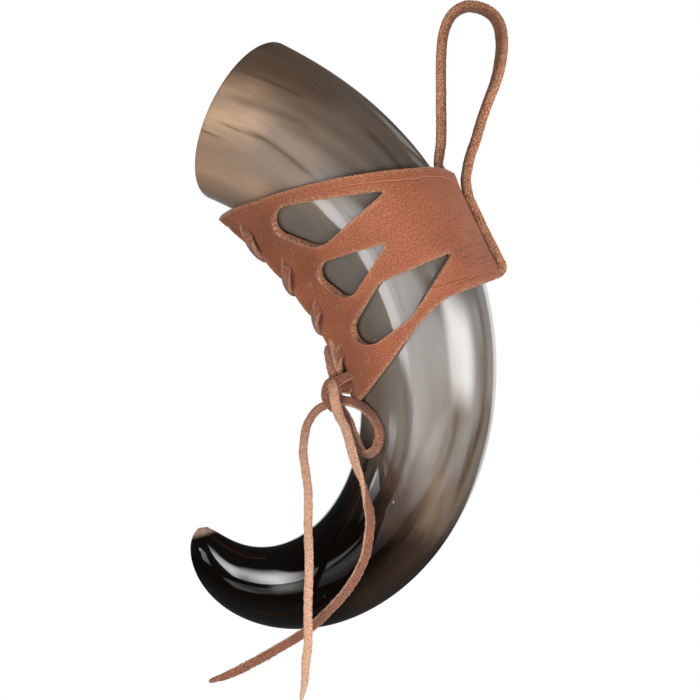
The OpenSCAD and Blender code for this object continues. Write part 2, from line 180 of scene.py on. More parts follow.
# The horn's section, from the tip along the outside, over the rim and down into the hollow.
outline = taper[:int(tip_cut * (taper_count - 1)) + 1]
tip_s, tip_r = outline[-1]
tip_dome = np.radians([78, 55, 30])
rim_turn = np.radians([30, 60, 90])
rim_back = rim_turn[::-1]
outline_run = run_along(outline)
outer_run = np.linspace(outline_run[-1], rim_round, outer_rows)
inner_s = hollow_depth * hollow_end * np.sin(np.linspace(hollow_first, math.pi / 2, inner_rows))
profile = np.concatenate([
    columns(tip_s + tip_bulge * np.sin(tip_dome), tip_r * np.cos(tip_dome)),
    columns(*(np.interp(outer_run, outline_run, outline[:, k]) for k in range(2))),
    columns(rim_round * (1 - np.sin(rim_turn)), mouth_radius - rim_round * (1 - np.cos(rim_turn))),
    columns(rim_round * (1 - np.sin(rim_back)),
            mouth_radius - rim_wall + rim_round * (1 - np.cos(rim_back))),
    columns(inner_s, hollow_radius(inner_s))])
outside_rows = len(tip_dome) + outer_rows + len(rim_turn)
horn_turn = np.linspace(0, 2 * math.pi, horn_sides, endpoint=False)
ring_centre, _, ring_inward, ring_side = (v[:, None] for v in horn_frame(profile[:, 0]))
ring_out = np.cos(horn_turn)[:, None] * ring_inward + np.sin(horn_turn)[:, None] * ring_side
horn_points = (ring_centre + profile[:, 1][:, None, None] * ring_out).reshape(-1, 3)
horn_station = np.repeat(profile[:, 0], horn_sides)
horn_angle = np.tile(np.degrees(horn_turn), len(profile))
horn_outside = np.repeat((np.arange(len(profile)) < outside_rows).astype(float), horn_sides)
swell = swell_height * rough(horn_points, swell_grain)
horn_points = horn_points + (horn_outside * swell)[:, None] * ring_out.reshape(-1, 3)

# Streaks on the horn: from and to, as a station in mm and an angle in degrees, then half the
# width in mm and the strength.
tan_streaks_and_light = [
    ((-4, 282), (16, 273), 11, 0.95), ((-4, 262), (10, 253), 8, 0.85), ((22, 272), (40, 270), 7, 0.2),
    # The first streak on the next line, on the inner side of the mouth, is partly the horn's own tan and
    # partly painted light from the lower left.
    ((0, 318), (30, 314), 9, 0.5), ((6, 298), (44, 292), 7, 0.18), ((34, 300), (58, 296), 6, 0.1),
    ((160, 247), (190, 250), 5, 0.1), ((184, 248), (197, 238), 5, 0.28),
    ((186, 230), (197, 220), 5, 0.22), ((150, 214), (190, 214), 4, 0.1), ((10, 90), (60, 96), 14, 0.8),
    ((120, 120), (180, 110), 6, 0.3)]
brown_streaks_and_shade = [
    ((24, 278), (41, 280.5), 0.9, 1.0), ((30, 278.5), (36, 279.5), 1.3, 0.6),
    ((11, 281), (20, 280), 0.6, 0.75), ((0, 291), (5, 291), 0.6, 0.8), ((-4, 240), (30, 226), 11, 0.66),
    ((20, 226), (66, 222), 11, 0.3), ((30, 246), (62, 242), 4, 0.45), ((12, 262), (30, 256), 2.2, 0.55),
    ((34, 262), (58, 256), 3, 0.4), ((170, 226), (181, 230), 3.5, 0.7),
    ((52, 228), (64, 229), 2.2, 0.9), ((1, 244), (22, 239), 1.8, 0.8),
    # The first streak on the next line, from 180 mm at 302 degrees to 197 mm at 273 degrees, is a painted
    # reflection of the bow loop.
    ((180, 302), (197, 273), 3.2, 0.85), ((0, 215), (50, 206), 6, 0.35),
    ((140, 246), (166, 243), 2.6, 0.75), ((138, 220.5), (160, 218), 1.9, 1.0),
    ((158, 217), (178, 222), 2.2, 0.85), ((208, 229), (230, 222), 8, 0.4),
    # The second streak on the next line, from 190 mm at 275 degrees to 204 mm at 268 degrees, is partly
    # the horn's own dark colour and partly painted shadow and reflection of the right tail.
    ((183, 262), (195, 258), 5.5, 0.5), ((190, 275), (204, 268), 6, 0.7),
    ((112, 322), (160, 320), 8, 0.5), ((166, 252), (180, 255), 1.5, 0.5),
    ((150, 290), (175, 284), 1.2, 0.35), ((20, 60), (70, 66), 2.2, 0.8),
    ((130, 140), (180, 132), 3, 0.8)]
# Where scraping marks were left and the polish is dull.
dull_streaks = [
    ((252, 263.5), (278, 262), 2.4, 1.0), ((180, 276), (192, 268), 4, 0.6),
    ((170, 284), (180, 279), 2.5, 0.6), ((180, 302), (197, 273), 4, 0.9),
    ((188, 284), (206, 274), 5, 0.9), ((192, 272), (201, 267), 5, 0.85),
    ((206, 286), (246, 284), 12, 1.0), ((204, 262), (246, 262), 12, 1.0),
    ((254, 254), (284, 252), 5, 1.0), ((260, 258), (276, 266), 5, 1.0)]
fade_share, fade_least, least_radius = 0.25, 3, 0.004
horn_mm = horn_station * 1000
streak_radius = np.maximum(horn_radius(horn_station), least_radius)


def streak_field(streaks):
    """How strongly each point of the horn lies in streaks, which fade out across and past their ends."""
    strongest = np.zeros(len(horn_mm))
    for (s0, a0), (s1, a1), half, strength in streaks:
        share = np.clip((horn_mm - s0) / (s1 - s0), 0, 1)
        turn = (horn_angle - (a0 + (a1 - a0) * share) + 180) % 360 - 180
        across = np.radians(turn) * streak_radius * 1000
        fade = fade_share * (s1 - s0) + fade_least
        beyond = (horn_mm - (s0 + (s1 - s0) * share)) / fade
        strongest = np.maximum(strongest, strength * np.exp(-(across / half) ** 2 - beyond ** 2))
    return strongest


def tone(red, green, blue):
    """Linear colour for a screen colour of 0 to 255."""
    linear = [c / 3294.6 if c <= 10 else ((c / 255 + 0.055) / 1.055) ** 2.4 for c in (red, green, blue)]
    return (*linear, 1.0)


def lay_in(tree, node, sockets):
    """Sets or links a shader node's sockets by name or number."""
    for key, value in sockets.items():
        if isinstance(value, bpy.types.NodeSocket):
            tree.links.new(value, node.inputs[key])
        else:
            node.inputs[key].default_value = value


def put(tree, kind, sockets, **settings):
    """Adds a shader node."""
    made = tree.nodes.new("ShaderNode" + kind)
    for key, value in settings.items():
        setattr(made, key, value)
    lay_in(tree, made, sockets)
    return made


def field(tree, name, output="Fac"):
    """Number or vector that the mesh carries under a name."""
    return put(tree, "Attribute", {}, attribute_name=name).outputs[output]


def cloud(tree, vector, scale, detail=4.0, rough_share=0.6, distortion=0.0):
    """Cloudy noise from 0 to 1."""
    return put(tree, "TexNoise", {"Vector": vector, "Scale": scale, "Detail": detail,
                                  "Roughness": rough_share, "Distortion": distortion}).outputs["Fac"]


def sums(tree, operation, a, b, c=0.0):
    return put(tree, "Math", {0: a, 1: b, 2: c}, operation=operation).outputs[0]


def times(tree, a, b):
    return sums(tree, "MULTIPLY", a, b)


def scaled(tree, a, b, c):
    """One value times another, plus a third."""
    return sums(tree, "MULTIPLY_ADD", a, b, c)


def eased(tree, value, low, high, out_low=0.0, out_high=1.0):
    """Smooth step of a value from low to high."""
    return put(tree, "MapRange", {"Value": value, "From Min": low, "From Max": high, "To Min": out_low,
                                  "To Max": out_high}, interpolation_type="SMOOTHSTEP").outputs[0]


def ramp(tree, value, stops):
    """Colour at a value, from colours at places between 0 and 1."""
    made = put(tree, "ValToRGB", {"Fac": value})
    band = made.color_ramp
    while len(band.elements) < len(stops):
        band.elements.new(0.5)
    for element, (place, colour) in zip(band.elements, stops):
        element.position = place
        element.color = colour
    return made.outputs["Color"]


def mixed(tree, share, a, b, blend_type="MIX"):
    return put(tree, "Mix", {0: share, 6: a, 7: b}, data_type="RGBA", blend_type=blend_type).outputs[2]


def relief(tree, height, strength, distance, under=None, sunk=False):
    """Normal of a surface that a height raises or sinks, over the relief under it."""
    sockets = {"Height": height, "Strength": strength, "Distance": distance}
    if under is not None:
        sockets["Normal"] = under
    return put(tree, "Bump", sockets, invert=sunk).outputs[0]


def new_material(name):
    made = bpy.data.materials.new(name)
    made.use_nodes = True
    return made, made.node_tree, made.node_tree.nodes["Principled BSDF"]


horn_material, tree, shader = new_material("polished_horn")
horn_tones = [(0.0, tone(142, 117, 96)), (0.10, tone(125, 109, 96)), (0.20, tone(103, 95, 87)),
              (0.36, tone(108, 103, 97)), (0.55, tone(119, 112, 102)), (0.615, tone(93, 83, 74)),
              (0.67, tone(35, 28, 23)), (0.73, tone(11, 8, 6))]
tan_tone, brown_tone, thread_tone = tone(194, 160, 130), tone(75, 53, 38), tone(65, 48, 37)
worn_tone, nick_tone = tone(211, 179, 154), tone(255, 245, 233)
grain = field(tree, "grain", "Vector")
station = field(tree, "station")
outside = field(tree, "outside")
place = put(tree, "TexCoord", {}).outputs["Object"]
broad = cloud(tree, grain, 0.13, 5.0, 0.62, 0.4)
fine = cloud(tree, grain, 0.75, 6.0, 0.7)
thread = cloud(tree, grain, 2.6, 3.0, 0.6)
polish = eased(tree, field(tree, "polish"), 44.0, 72.0)
ripe = scaled(tree, sums(tree, "SUBTRACT", broad, 0.5), 52.0, field(tree, "ripeness"))
colour = ramp(tree, sums(tree, "DIVIDE", ripe, horn_length * 1000), horn_tones)
tan_share = times(tree, field(tree, "tan"), eased(tree, broad, 0.25, 0.62, 0.45, 1.0))
colour = mixed(tree, tan_share, colour, tan_tone)
brown_share = times(tree, field(tree, "brown"), eased(tree, fine, 0.3, 0.6, 0.55, 1.0))
colour = mixed(tree, brown_share, colour, brown_tone)
streak_light = eased(tree, fine, 0.3, 0.72, -0.09, 0.07)
streak_light = scaled(tree, streak_light, scaled(tree, polish, -0.4, 1.0), 1.0)
streak_grey = put(tree, "CombineColor", {0: streak_light, 1: streak_light, 2: streak_light}).outputs[0]
colour = mixed(tree, 1.0, colour, streak_grey, "MULTIPLY")
colour = mixed(tree, times(tree, eased(tree, thread, 0.60, 0.74), 0.08), colour, thread_tone)
worn = times(tree, eased(tree, station, 302.0, 304.6),
             eased(tree, cloud(tree, grain, 0.5, 6.0, 0.75), 0.36, 0.56))
colour = mixed(tree, worn, colour, worn_tone)
nick_place = put(tree, "Mapping", {"Vector": place, "Scale": (1, 1, 0.4)}).outputs[0]
nick = put(tree, "TexVoronoi", {"Vector": nick_place, "Scale": 115.0, "Randomness": 1.0})
nicks = times(tree, eased(tree, nick.outputs["Distance"], 0.040, 0.022),
              eased(tree, cloud(tree, place, 26.0, 2.0), 0.53, 0.62))
colour = mixed(tree, times(tree, nicks, 0.5), colour, nick_tone)
inside_colour = mixed(tree, broad, tone(152, 127, 105), tone(213, 186, 156))
colour = mixed(tree, outside, inside_colour, colour)
gloss = scaled(tree, polish, -0.34, 0.42)
gloss = scaled(tree, eased(tree, station, 160.0, 215.0), -0.035, gloss)
gloss = scaled(tree, sums(tree, "SUBTRACT", cloud(tree, place, 60.0, 5.0), 0.5), 0.05, gloss)
gloss = scaled(tree, worn, 0.35, gloss)
gloss = sums(tree, "MAXIMUM", gloss, scaled(tree, outside, -0.57, 0.6))
mirror = times(tree, scaled(tree, polish, 0.35, 0.15),
               scaled(tree, field(tree, "dull"), -0.92, 1.0))
scrape = relief(tree, fine, 0.006, 0.0004)
scrape = relief(tree, sums(tree, "ADD", nicks, worn), 0.25, 0.0004, scrape, sunk=True)
lay_in(tree, shader, {"Base Color": colour, "Roughness": gloss, "IOR": 1.56, "Normal": scrape,
                      "Specular IOR Level": mirror})
# The dark colour and the polish reach further up the horn at the seam, at the spine and in front.
ripe_at_seam, ripe_in_front = 9, 7
ripe_angle, ripe_spread = 276, 14
polish_at_seam, polish_at_spine = 30, 16
grain_round, grain_along = 33, 120
towards_seam = np.cos(np.radians(horn_angle))
horn = make_mesh("horn", horn_material, horn_points, ring_faces(len(profile), horn_sides), {
    "station": horn_mm,
    "ripeness": horn_mm + ripe_at_seam * np.maximum(towards_seam, 0)
                + ripe_in_front * np.exp(-((horn_angle - ripe_angle) / ripe_spread) ** 2),
    "polish": horn_mm + polish_at_seam * np.maximum(towards_seam, 0)
              - polish_at_spine * np.minimum(towards_seam, 0),
    "grain": columns(grain_round * towards_seam, grain_round * np.sin(np.radians(horn_angle)),
                     grain_along * horn_station),
    "outside": horn_outside, "tan": streak_field(tan_streaks_and_light), "brown": streak_field(brown_streaks_and_shade),
    "dull": streak_field(dull_streaks)})
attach(horn, "horn")
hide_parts("horn")


# Leather holder: one piece of vegetable-tanned leather wrapped round the horn, pierced with three
# teardrop windows on each side. Its two edges meet on the inside of the bend, where the lace pinches
# them, and a soft ridge over the thong runs down the spine.
leather = 0.0022
horn_gap = 0.001
seam_top, seam_bottom = 0.012, 0.157
spine_top, spine_bottom = 0.071, 0.111
seam_low, seam_rise = 0.003, 0.0095
crown_rise, crown_spread = 0.010, 0.008
seam_crown = (seam_top + seam_bottom) / 2 - crown_rise
seam_half = (seam_bottom - seam_top) / 2 + crown_spread
spine_low, spine_rise = 0.0046, 0.0032
spine_middle = (spine_top + spine_bottom) / 2
spine_half = (spine_bottom - spine_top) / 2
ridge_spread, ridge_dip = 32, 0.0045
sweep_angle, sweep_share, slope_share = 120, 0.92, 0.08
first_stitch, stitch_pitch = 0.0305, 0.031
pinch_place, pinch_depth, pinch_spread = 0.4, 0.0014, 26
pinch_from, pinch_to = seam_top + 0.006, seam_bottom - 0.012
# The sheet is cut flat: girth_scale is metres for each degree round the horn, and slit is half the
# seam's gap in degrees.
girth_scale = 0.000576
slit = 0.5
window_spacing, grid_step, edge_margin = 0.0011, 0.0014, 0.0008
# Three spots of each window: station and distance towards the seam, and the radius of the corner, in mm.
windows = np.array([[[50.6, 26, 6.5], [60.3, 19.6, 8.5], [66.6, -9, 0.8]],
                    [[82.1, 26.3, 5.5], [90.6, 23.3, 5.5], [83.8, 3.3, 0.8]],
                    [[116.3, 21.1, 6.8], [107.6, 8.3, 9.5], [98.4, -20.2, 0.8]]]) / 1000


def folded(angle):
    """Angle from the seam, the same on both sides."""
    return np.minimum(angle, 360 - angle)


def leather_reach(s):
    return horn_radius(s) + horn_gap + leather


def seam_standoff(s):
    return seam_low + seam_rise * (1 - ((s - seam_crown) / seam_half) ** 2)


def spine_standoff(s):
    return spine_low + spine_rise * ((s - spine_middle) / spine_half) ** 2


def flap_angle(s):
    """Angle from the seam at which the leather leaves the horn and runs straight to the seam's edge."""
    return np.degrees(np.arccos(np.minimum(1, leather_reach(s) / (horn_radius(s) + seam_standoff(s)))))


def near_spine(angle):
    return (1 + np.cos(np.pi * np.minimum(1, (180 - folded(angle)) / ridge_spread))) / 2


def leather_point(s, angle, depth):
    """Point of the leather at a station and an angle round the horn, at a depth below its outer face."""
    reach = leather_reach(s) - depth
    flap = reach / np.cos(np.radians(np.maximum(0, flap_angle(s) - folded(angle))))
    ridge = np.maximum(0, spine_standoff(s) - horn_gap - leather) * near_spine(angle)
    out = np.where(folded(angle) <= 90, flap, reach + ridge)
    stitched = np.cos(np.pi * (s - first_stitch - pinch_place * stitch_pitch) / stitch_pitch) ** 4
    pinch = stitched * np.clip(1 - folded(angle) / pinch_spread, 0, 1) ** 1.5
    pinch = pinch * (s > pinch_from) * (s < pinch_to)
    centre, _, inward, side = horn_frame(s)
    turn = np.radians(angle)[:, None]
    wrapped = centre + out[:, None] * (np.cos(turn) * inward + np.sin(turn) * side)
    return wrapped - (pinch_depth * pinch)[:, None] * inward


def leather_slopes(s, angle):
    """Point of the outer face, and how it moves for each metre along the horn and each degree round it."""
    small_s, small_angle = 1e-5, 0.01
    here = leather_point(s, angle, 0)
    by_s = (leather_point(s + small_s, angle, 0) - here) / small_s
    by_angle = (leather_point(s, angle + small_angle, 0) - here) / small_angle
    return here, by_s, by_angle


def edge_top(angle):
    swept = seam_top + (spine_top - seam_top) * np.sin(np.radians(angle / 2))
    return swept + ridge_dip * near_spine(angle)


def edge_bottom(angle):
    swept = (1 - np.cos(np.pi * np.minimum(1, folded(angle) / sweep_angle))) / 2
    rise = sweep_share * swept + slope_share * folded(angle) / 180
    return seam_bottom - (seam_bottom - spine_bottom) * rise


def hull_of(points):
    """Convex outline of flat points, in order."""
    points = sorted(map(tuple, points))
    halves = []
    for run in (points, points[::-1]):
        chain = []
        for p in run:
            while len(chain) > 1 and ((chain[-1][0] - chain[-2][0]) * (p[1] - chain[-2][1])
                                      - (chain[-1][1] - chain[-2][1]) * (p[0] - chain[-2][0])) <= 0:
                chain.pop()
            chain.append(p)
        halves += chain[:-1]
    return np.array(halves)


def even_loop(loop, spacing):
    """The same closed outline with points an even distance apart."""
    closed = np.vstack([loop, loop[:1]])
    run = run_along(closed)
    places = np.linspace(0, run[-1], max(12, int(run[-1] / spacing)), endpoint=False)
    return columns(*(np.interp(places, run, closed[:, k]) for k in range(2)))


def window_loop(spots, back):
    """Outline of a window on the flat sheet, from circles set square to the plane of the bend."""
    circle_sides, tries, back_angle, front_angle = 48, 25, 80.0, 280.0
    most_s, most_angle = 0.004, 6
    s, offset, corner = spots.T
    half = np.sqrt(leather_reach(s) ** 2 - offset ** 2)
    centre, _, inward, side = horn_frame(s)
    middle = centre + offset[:, None] * inward + (half if back else -half)[:, None] * side
    turn = np.linspace(0, 2 * math.pi, circle_sides, endpoint=False)
    circle = columns(np.cos(turn), np.sin(turn))
    target = even_loop(hull_of(np.concatenate([m[[0, 2]] + r * circle for m, r in zip(middle, corner)])),
                       window_spacing)
    guess_s = np.full(len(target), s.mean())
    guess_a = np.full(len(target), back_angle if back else front_angle)
    for _ in range(tries):
        here, by_s, by_a = (v[:, [0, 2]] for v in leather_slopes(guess_s, guess_a))
        miss = target - here
        det = by_s[:, 0] * by_a[:, 1] - by_s[:, 1] * by_a[:, 0]
        step_s = (miss[:, 0] * by_a[:, 1] - miss[:, 1] * by_a[:, 0]) / det
        step_a = (by_s[:, 0] * miss[:, 1] - by_s[:, 1] * miss[:, 0]) / det
        guess_s = guess_s + np.clip(step_s, -most_s, most_s)
        guess_a = guess_a + np.clip(step_a, -most_angle, most_angle)
    return columns(guess_a * girth_scale, guess_s)


def inside_loop(points, loop):
    """Which flat points lie inside a closed outline."""
    x, y = points[:, 0][:, None], points[:, 1][:, None]
    x0, y0 = loop[:, 0], loop[:, 1]
    x1, y1 = np.roll(x0, -1), np.roll(y0, -1)
    crosses = ((y0 > y) != (y1 > y)) & (x < (x1 - x0) * (y - y0) / (y1 - y0 + 1e-15) + x0)
    return crosses.sum(1) % 2 == 1


edge_angles = np.linspace(slit, 360 - slit, 190)
seam_run = np.linspace(0, 1, 122)[1:-1]
bottom_edge = columns(edge_angles * girth_scale, edge_bottom(edge_angles))
top_edge = columns(edge_angles * girth_scale, edge_top(edge_angles))
far_seam = columns(np.full_like(seam_run, (360 - slit) * girth_scale),
                   seam_bottom + (seam_top - seam_bottom) * seam_run)
near_seam = columns(np.full_like(seam_run, slit * girth_scale),
                    seam_top + (seam_bottom - seam_top) * seam_run)
rim_loop = np.concatenate([bottom_edge, far_seam, top_edge[::-1], near_seam])
holes = [window_loop(spots, back) for spots in windows for back in (False, True)]
loops = [rim_loop] + holes
edge_points = np.concatenate(loops)


def on_leather(points):
    """Which flat points lie within the rim and outside the windows."""
    kept = inside_loop(points, rim_loop)
    for hole in holes:
        kept &= ~inside_loop(points, hole)
    return kept


def gap_to(points, marks):
    """Distance from each flat point to the nearest mark."""
    return np.concatenate([np.sqrt(((part[:, None] - marks[None]) ** 2).sum(-1)).min(1)
                           for part in np.array_split(points, 20)])


grid_u, grid_v = np.meshgrid(np.arange(0, 360 * girth_scale, grid_step),
                             np.arange(seam_top, seam_bottom, grid_step))
grid_u = grid_u + grid_step / 2 * (np.arange(grid_u.shape[0]) % 2)[:, None]
grid_points = columns(grid_u.ravel(), grid_v.ravel())
kept = (gap_to(grid_points, edge_points) > edge_margin) & on_leather(grid_points)
flat_points = np.concatenate([edge_points, grid_points[kept]])
flat_edges = []
for loop in loops:
    start = len(flat_edges)
    flat_edges += [(start + i, start + (i + 1) % len(loop)) for i in range(len(loop))]
flat_points, _, flat_faces, _, _, _ = delaunay_2d_cdt(
    [Vector(p) for p in flat_points], flat_edges, [], 0, 1e-7)
flat_points = np.array([tuple(p) for p in flat_points])
flat_faces = np.array(flat_faces)
flat_faces = flat_faces[on_leather(flat_points[flat_faces].mean(1))]
flat_count = len(flat_points)
sheet_a, sheet_s = flat_points[:, 0] / girth_scale, flat_points[:, 1]
from_edge = gap_to(flat_points, edge_points)
from_window = gap_to(flat_points, np.concatenate(holes))

# The outer face waves a little, and lifts along the windows, most of all near the seam. Its colour is
# darker there, on the upper part.
seamward_from, seamward_over = 100, 60
darker_above, darker_over = 0.105, 0.05
lift_least, lift_at_seam, lift_spread, lift_inside = 0.0002, 0.0013, 0.0045, 0.3
wave_broad, wave_fine, wave_sink = 0.00020, 0.00022, -0.00025
wave_broad_grain, wave_fine_grain = 55, 120
outer_face, slope_s, slope_a = leather_slopes(sheet_s, sheet_a)
inner_face = leather_point(sheet_s, sheet_a, leather)
through = unit(outer_face - inner_face)
seamward = np.clip((seamward_from - folded(sheet_a)) / seamward_over, 0, 1)
darker_near_seam_top = seamward * np.clip((darker_above - sheet_s) / darker_over, 0, 1)
lift = (lift_least + lift_at_seam * seamward) * np.exp(-(from_window / lift_spread) ** 2)
wave = wave_broad * rough(outer_face, wave_broad_grain) + wave_fine * rough(outer_face, wave_fine_grain)
wave = np.maximum(wave, wave_sink)
outer_face = outer_face + (wave + lift)[:, None] * through
inner_face = inner_face + (np.maximum(wave, 0) + lift_inside * lift)[:, None] * through

# The cut sides: rows of points from the outer face to the inner one, which bulge and fray a little.
cut_depths = [0.12, 0.32, 0.55, 0.8]
cut_bulges = [0.00004, 0.00016, 0.00018, 0.00006]
fray_share, fray_grain = 1.6, 900
cut_rows = len(cut_depths)
sides_used = {}
for tri in flat_faces:
    for k in range(3):
        a, b = int(tri[k]), int(tri[(k + 1) % 3])
        if sides_used.pop((b, a), None) is None:
            sides_used[(a, b)] = True
cut_out = np.zeros((flat_count, 2))
for a, b in sides_used:
    way = flat_points[b] - flat_points[a]
    cut_out[[a, b]] += np.array([way[1], -way[0]])
cut_list = sorted({v for side in sides_used for v in side})
cut_row = {v: i for i, v in enumerate(cut_list)}
cut_flat = unit(cut_out[cut_list])
cut_way = unit(cut_flat[:, :1] * unit(slope_a[cut_list]) + cut_flat[:, 1:] * unit(slope_s[cut_list]))
leather_points = [outer_face, inner_face]
for depth, bulge in zip(cut_depths, cut_bulges):
    row = outer_face[cut_list] * (1 - depth) + inner_face[cut_list] * depth
    ragged = 1 + fray_share * rough(row, fray_grain)
    leather_points.append(row + (bulge * ragged)[:, None] * cut_way)
leather_points = np.concatenate(leather_points)
leather_faces = [tuple(int(v) for v in tri) for tri in flat_faces]
leather_faces += [tuple(int(v) + flat_count for v in tri[::-1]) for tri in flat_faces]


def ladder(v):
    """Points down a cut side, from the outer face to the inner one."""
    rungs = [2 * flat_count + r * len(cut_list) + cut_row[v] for r in range(cut_rows)]
    return [v] + rungs + [v + flat_count]


def on_faces(outer, inner, cut):
    """Values for the points of the outer face, the inner face and the cut sides."""
    return np.concatenate([np.broadcast_to(outer, flat_count), np.broadcast_to(inner, flat_count),
                           np.full(cut_rows * len(cut_list), cut)])


for a, b in sides_used:
    down_a, down_b = ladder(a), ladder(b)
    leather_faces += [(down_b[r], down_a[r], down_a[r + 1], down_b[r + 1]) for r in range(cut_rows + 1)]
sheet_place = columns(flat_points[:, 0] * 1000, flat_points[:, 1] * 1000, 0 * sheet_a)
sheet_place = np.concatenate([sheet_place, sheet_place + [0, 0, 9]]
                             + [sheet_place[cut_list] + [0, 0, 1.2 * depth] for depth in cut_depths])
crease_x, crease_z, crease_spread = 0.004, -0.112, 0.026
edge_highlight_fade = 0.00055
from_crease = np.sqrt((leather_points[:, 0] - crease_x) ** 2 + (leather_points[:, 2] - crease_z) ** 2)
leather_material, tree, shader = new_material("red_brown_leather")
sheet = field(tree, "sheet", "Vector")
mottle = cloud(tree, sheet, 0.055, 4.0, 0.6, 0.3)
speck = cloud(tree, sheet, 1.5, 8.0, 0.72)
pore = put(tree, "TexVoronoi", {"Vector": sheet, "Scale": 1.9}).outputs["Distance"]
colour = mixed(tree, eased(tree, mottle, 0.3, 0.7), tone(142, 77, 48), tone(159, 89, 56))
colour = mixed(tree, eased(tree, speck, 0.50, 0.62, 0.0, 0.55), colour, tone(200, 129, 94))
colour = mixed(tree, eased(tree, speck, 0.5, 0.39, 0.0, 0.6), colour, tone(91, 46, 27))
turned = put(tree, "Mapping", {"Vector": sheet, "Rotation": (0, 0, 0.12), "Scale": (0.09, 1.5, 1.0)})
crease_and_shade = eased(tree, cloud(tree, turned.outputs[0], 0.7, 2.0, 0.5), 0.56, 0.62)
crease_and_shade = times(tree, crease_and_shade, field(tree, "creased"))
wander = scaled(tree, cloud(tree, sheet, 0.05, 2.0), 3.0, field(tree, "below_top"))
top_line = times(tree, eased(tree, wander, 4.6, 5.0), eased(tree, wander, 5.6, 5.1))
# Crease lines are darker: painted shade in them, besides their sunken relief below.
colour = mixed(tree, times(tree, crease_and_shade, 0.5), colour, tone(93, 48, 30))
colour = mixed(tree, times(tree, top_line, 0.35), colour, tone(205, 134, 98))
colour = mixed(tree, times(tree, field(tree, "darker_near_seam_top"), 0.34), colour, tone(92, 47, 28))
bend = put(tree, "TexNoise", {"Vector": sheet, "Scale": 0.11}).outputs["Color"]
hair_place = put(tree, "VectorMath", {0: bend, 1: (14, 14, 0), 2: sheet}, operation="MULTIPLY_ADD")
hair = put(tree, "TexVoronoi", {"Vector": hair_place.outputs[0], "Scale": 0.16},
           feature="DISTANCE_TO_EDGE")
hair = times(tree, eased(tree, hair.outputs["Distance"], 0.020, 0.009),
             eased(tree, cloud(tree, sheet, 0.2, 2.0), 0.55, 0.60))
hair = times(tree, hair, scaled(tree, field(tree, "seamward"), 0.34, 0.1))
colour = mixed(tree, hair, colour, tone(229, 160, 122))
# Painted shade: the faces darken within 1.6 mm of each cut edge.
rim_shade = eased(tree, field(tree, "from_cut"), 1.6, 0.5, 0.0, 0.25)
colour = mixed(tree, rim_shade, colour, tone(110, 60, 40))
# Pale cut sides, and along the outer face's edges a painted highlight on the corner.
pale = times(tree, field(tree, "cut_edge"),
             eased(tree, cloud(tree, sheet, 1.1, 6.0, 0.75), 0.38, 0.54, 0.3, 1.0))
fibre = mixed(tree, eased(tree, cloud(tree, sheet, 1.6, 6.0, 0.85), 0.42, 0.58),
              tone(78, 43, 27), tone(226, 162, 121))
colour = mixed(tree, pale, colour, fibre)
colour = mixed(tree, times(tree, field(tree, "flesh"), 0.7), colour, fibre)
lumps = relief(tree, speck, 0.35, 0.0005)
lumps = relief(tree, pore, 0.10, 0.0004, lumps)
lumps = relief(tree, sums(tree, "ADD", crease_and_shade, top_line), 0.5, 0.0006, lumps, sunk=True)
lay_in(tree, shader, {"Base Color": colour, "Roughness": eased(tree, mottle, 0.3, 0.7, 0.62, 0.74),
                      "Specular IOR Level": 0.32, "Sheen Weight": 0.12, "Sheen Roughness": 0.5,
                      "Normal": lumps})
holder = make_mesh("leather_holder", leather_material, leather_points, leather_faces, {
    "sheet": sheet_place, "creased": np.exp(-(from_crease / crease_spread) ** 2),
    # On the outer face cut_edge paints a pale line along each edge, a painted highlight on the corner; on
    # the cut sides and the inner face it is the pale cut itself.
    "cut_edge": on_faces(np.exp(-(from_edge / edge_highlight_fade) ** 2) * 0.85, 0.35, 1.0),
    "flesh": on_faces(0.0, 1.0, 0.0),
    "seamward": on_faces(seamward, seamward, 0.0),
    "darker_near_seam_top": on_faces(darker_near_seam_top, darker_near_seam_top, 0.0),
    "below_top": on_faces(sheet_s - edge_top(sheet_a), 1.0, 1.0) * 1000,
    "from_cut": on_faces(from_edge, from_edge, 0.0) * 1000},
    {tuple(sorted((a + low, b + low))) for a, b in sides_used for low in (0, flat_count)})
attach(holder, "holder")
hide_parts("leather_holder")


# Seam lacing: a flat lace cut from the same hide, whip-stitched down the seam through both edges of
# the leather. Its lower end lies outside the seam with the last stitch over it, and both go into the
# knot. It is held by the stitches and the knot alone.
lace_room, lace_lift, lace_under = 0.0015, 0.0003, 0.002
stitch_start = 60
first_turn, last_turn, turn_step = -40.0, 1264.0, 4.0
# How far down a stitch's pitch the lace is after a share of its turn.
turn_shares, pitch_shares = [0, 0.333, 1], [0, 0.46, 1]
winding_count, lead_from, lead_blend = 420, 395, 12
strap_sides = 20


def seam_edge(s):
    """Place along the seam where the two edges of the leather meet."""
    centre, _, inward, _ = horn_frame(s)
    return centre + (horn_radius(s) + seam_standoff(s))[..., None] * inward


def wind_point(turn):
    """Place of the lace on its oval round the seam, at a turn in degrees, and the way along the seam."""
    whole, part = np.divmod((turn - stitch_start) / 360, 1)
    s = first_stitch + stitch_pitch * (whole + np.interp(part, turn_shares, pitch_shares))
    inside = seam_standoff(s) - pinch_depth - lace_under
    middle, reach = (inside + lace_lift) / 2, (inside - lace_lift) / 2
    flap = np.radians(flap_angle(s))
    half = np.maximum(0, middle) / np.tan(flap) + lace_room / np.sin(flap)
    _, along, inward, side = horn_frame(s)
    place = (seam_edge(s) - (middle + reach * np.cos(np.radians(turn)))[:, None] * inward
             - (half * np.sin(np.radians(turn)))[:, None] * side)
    return place, along


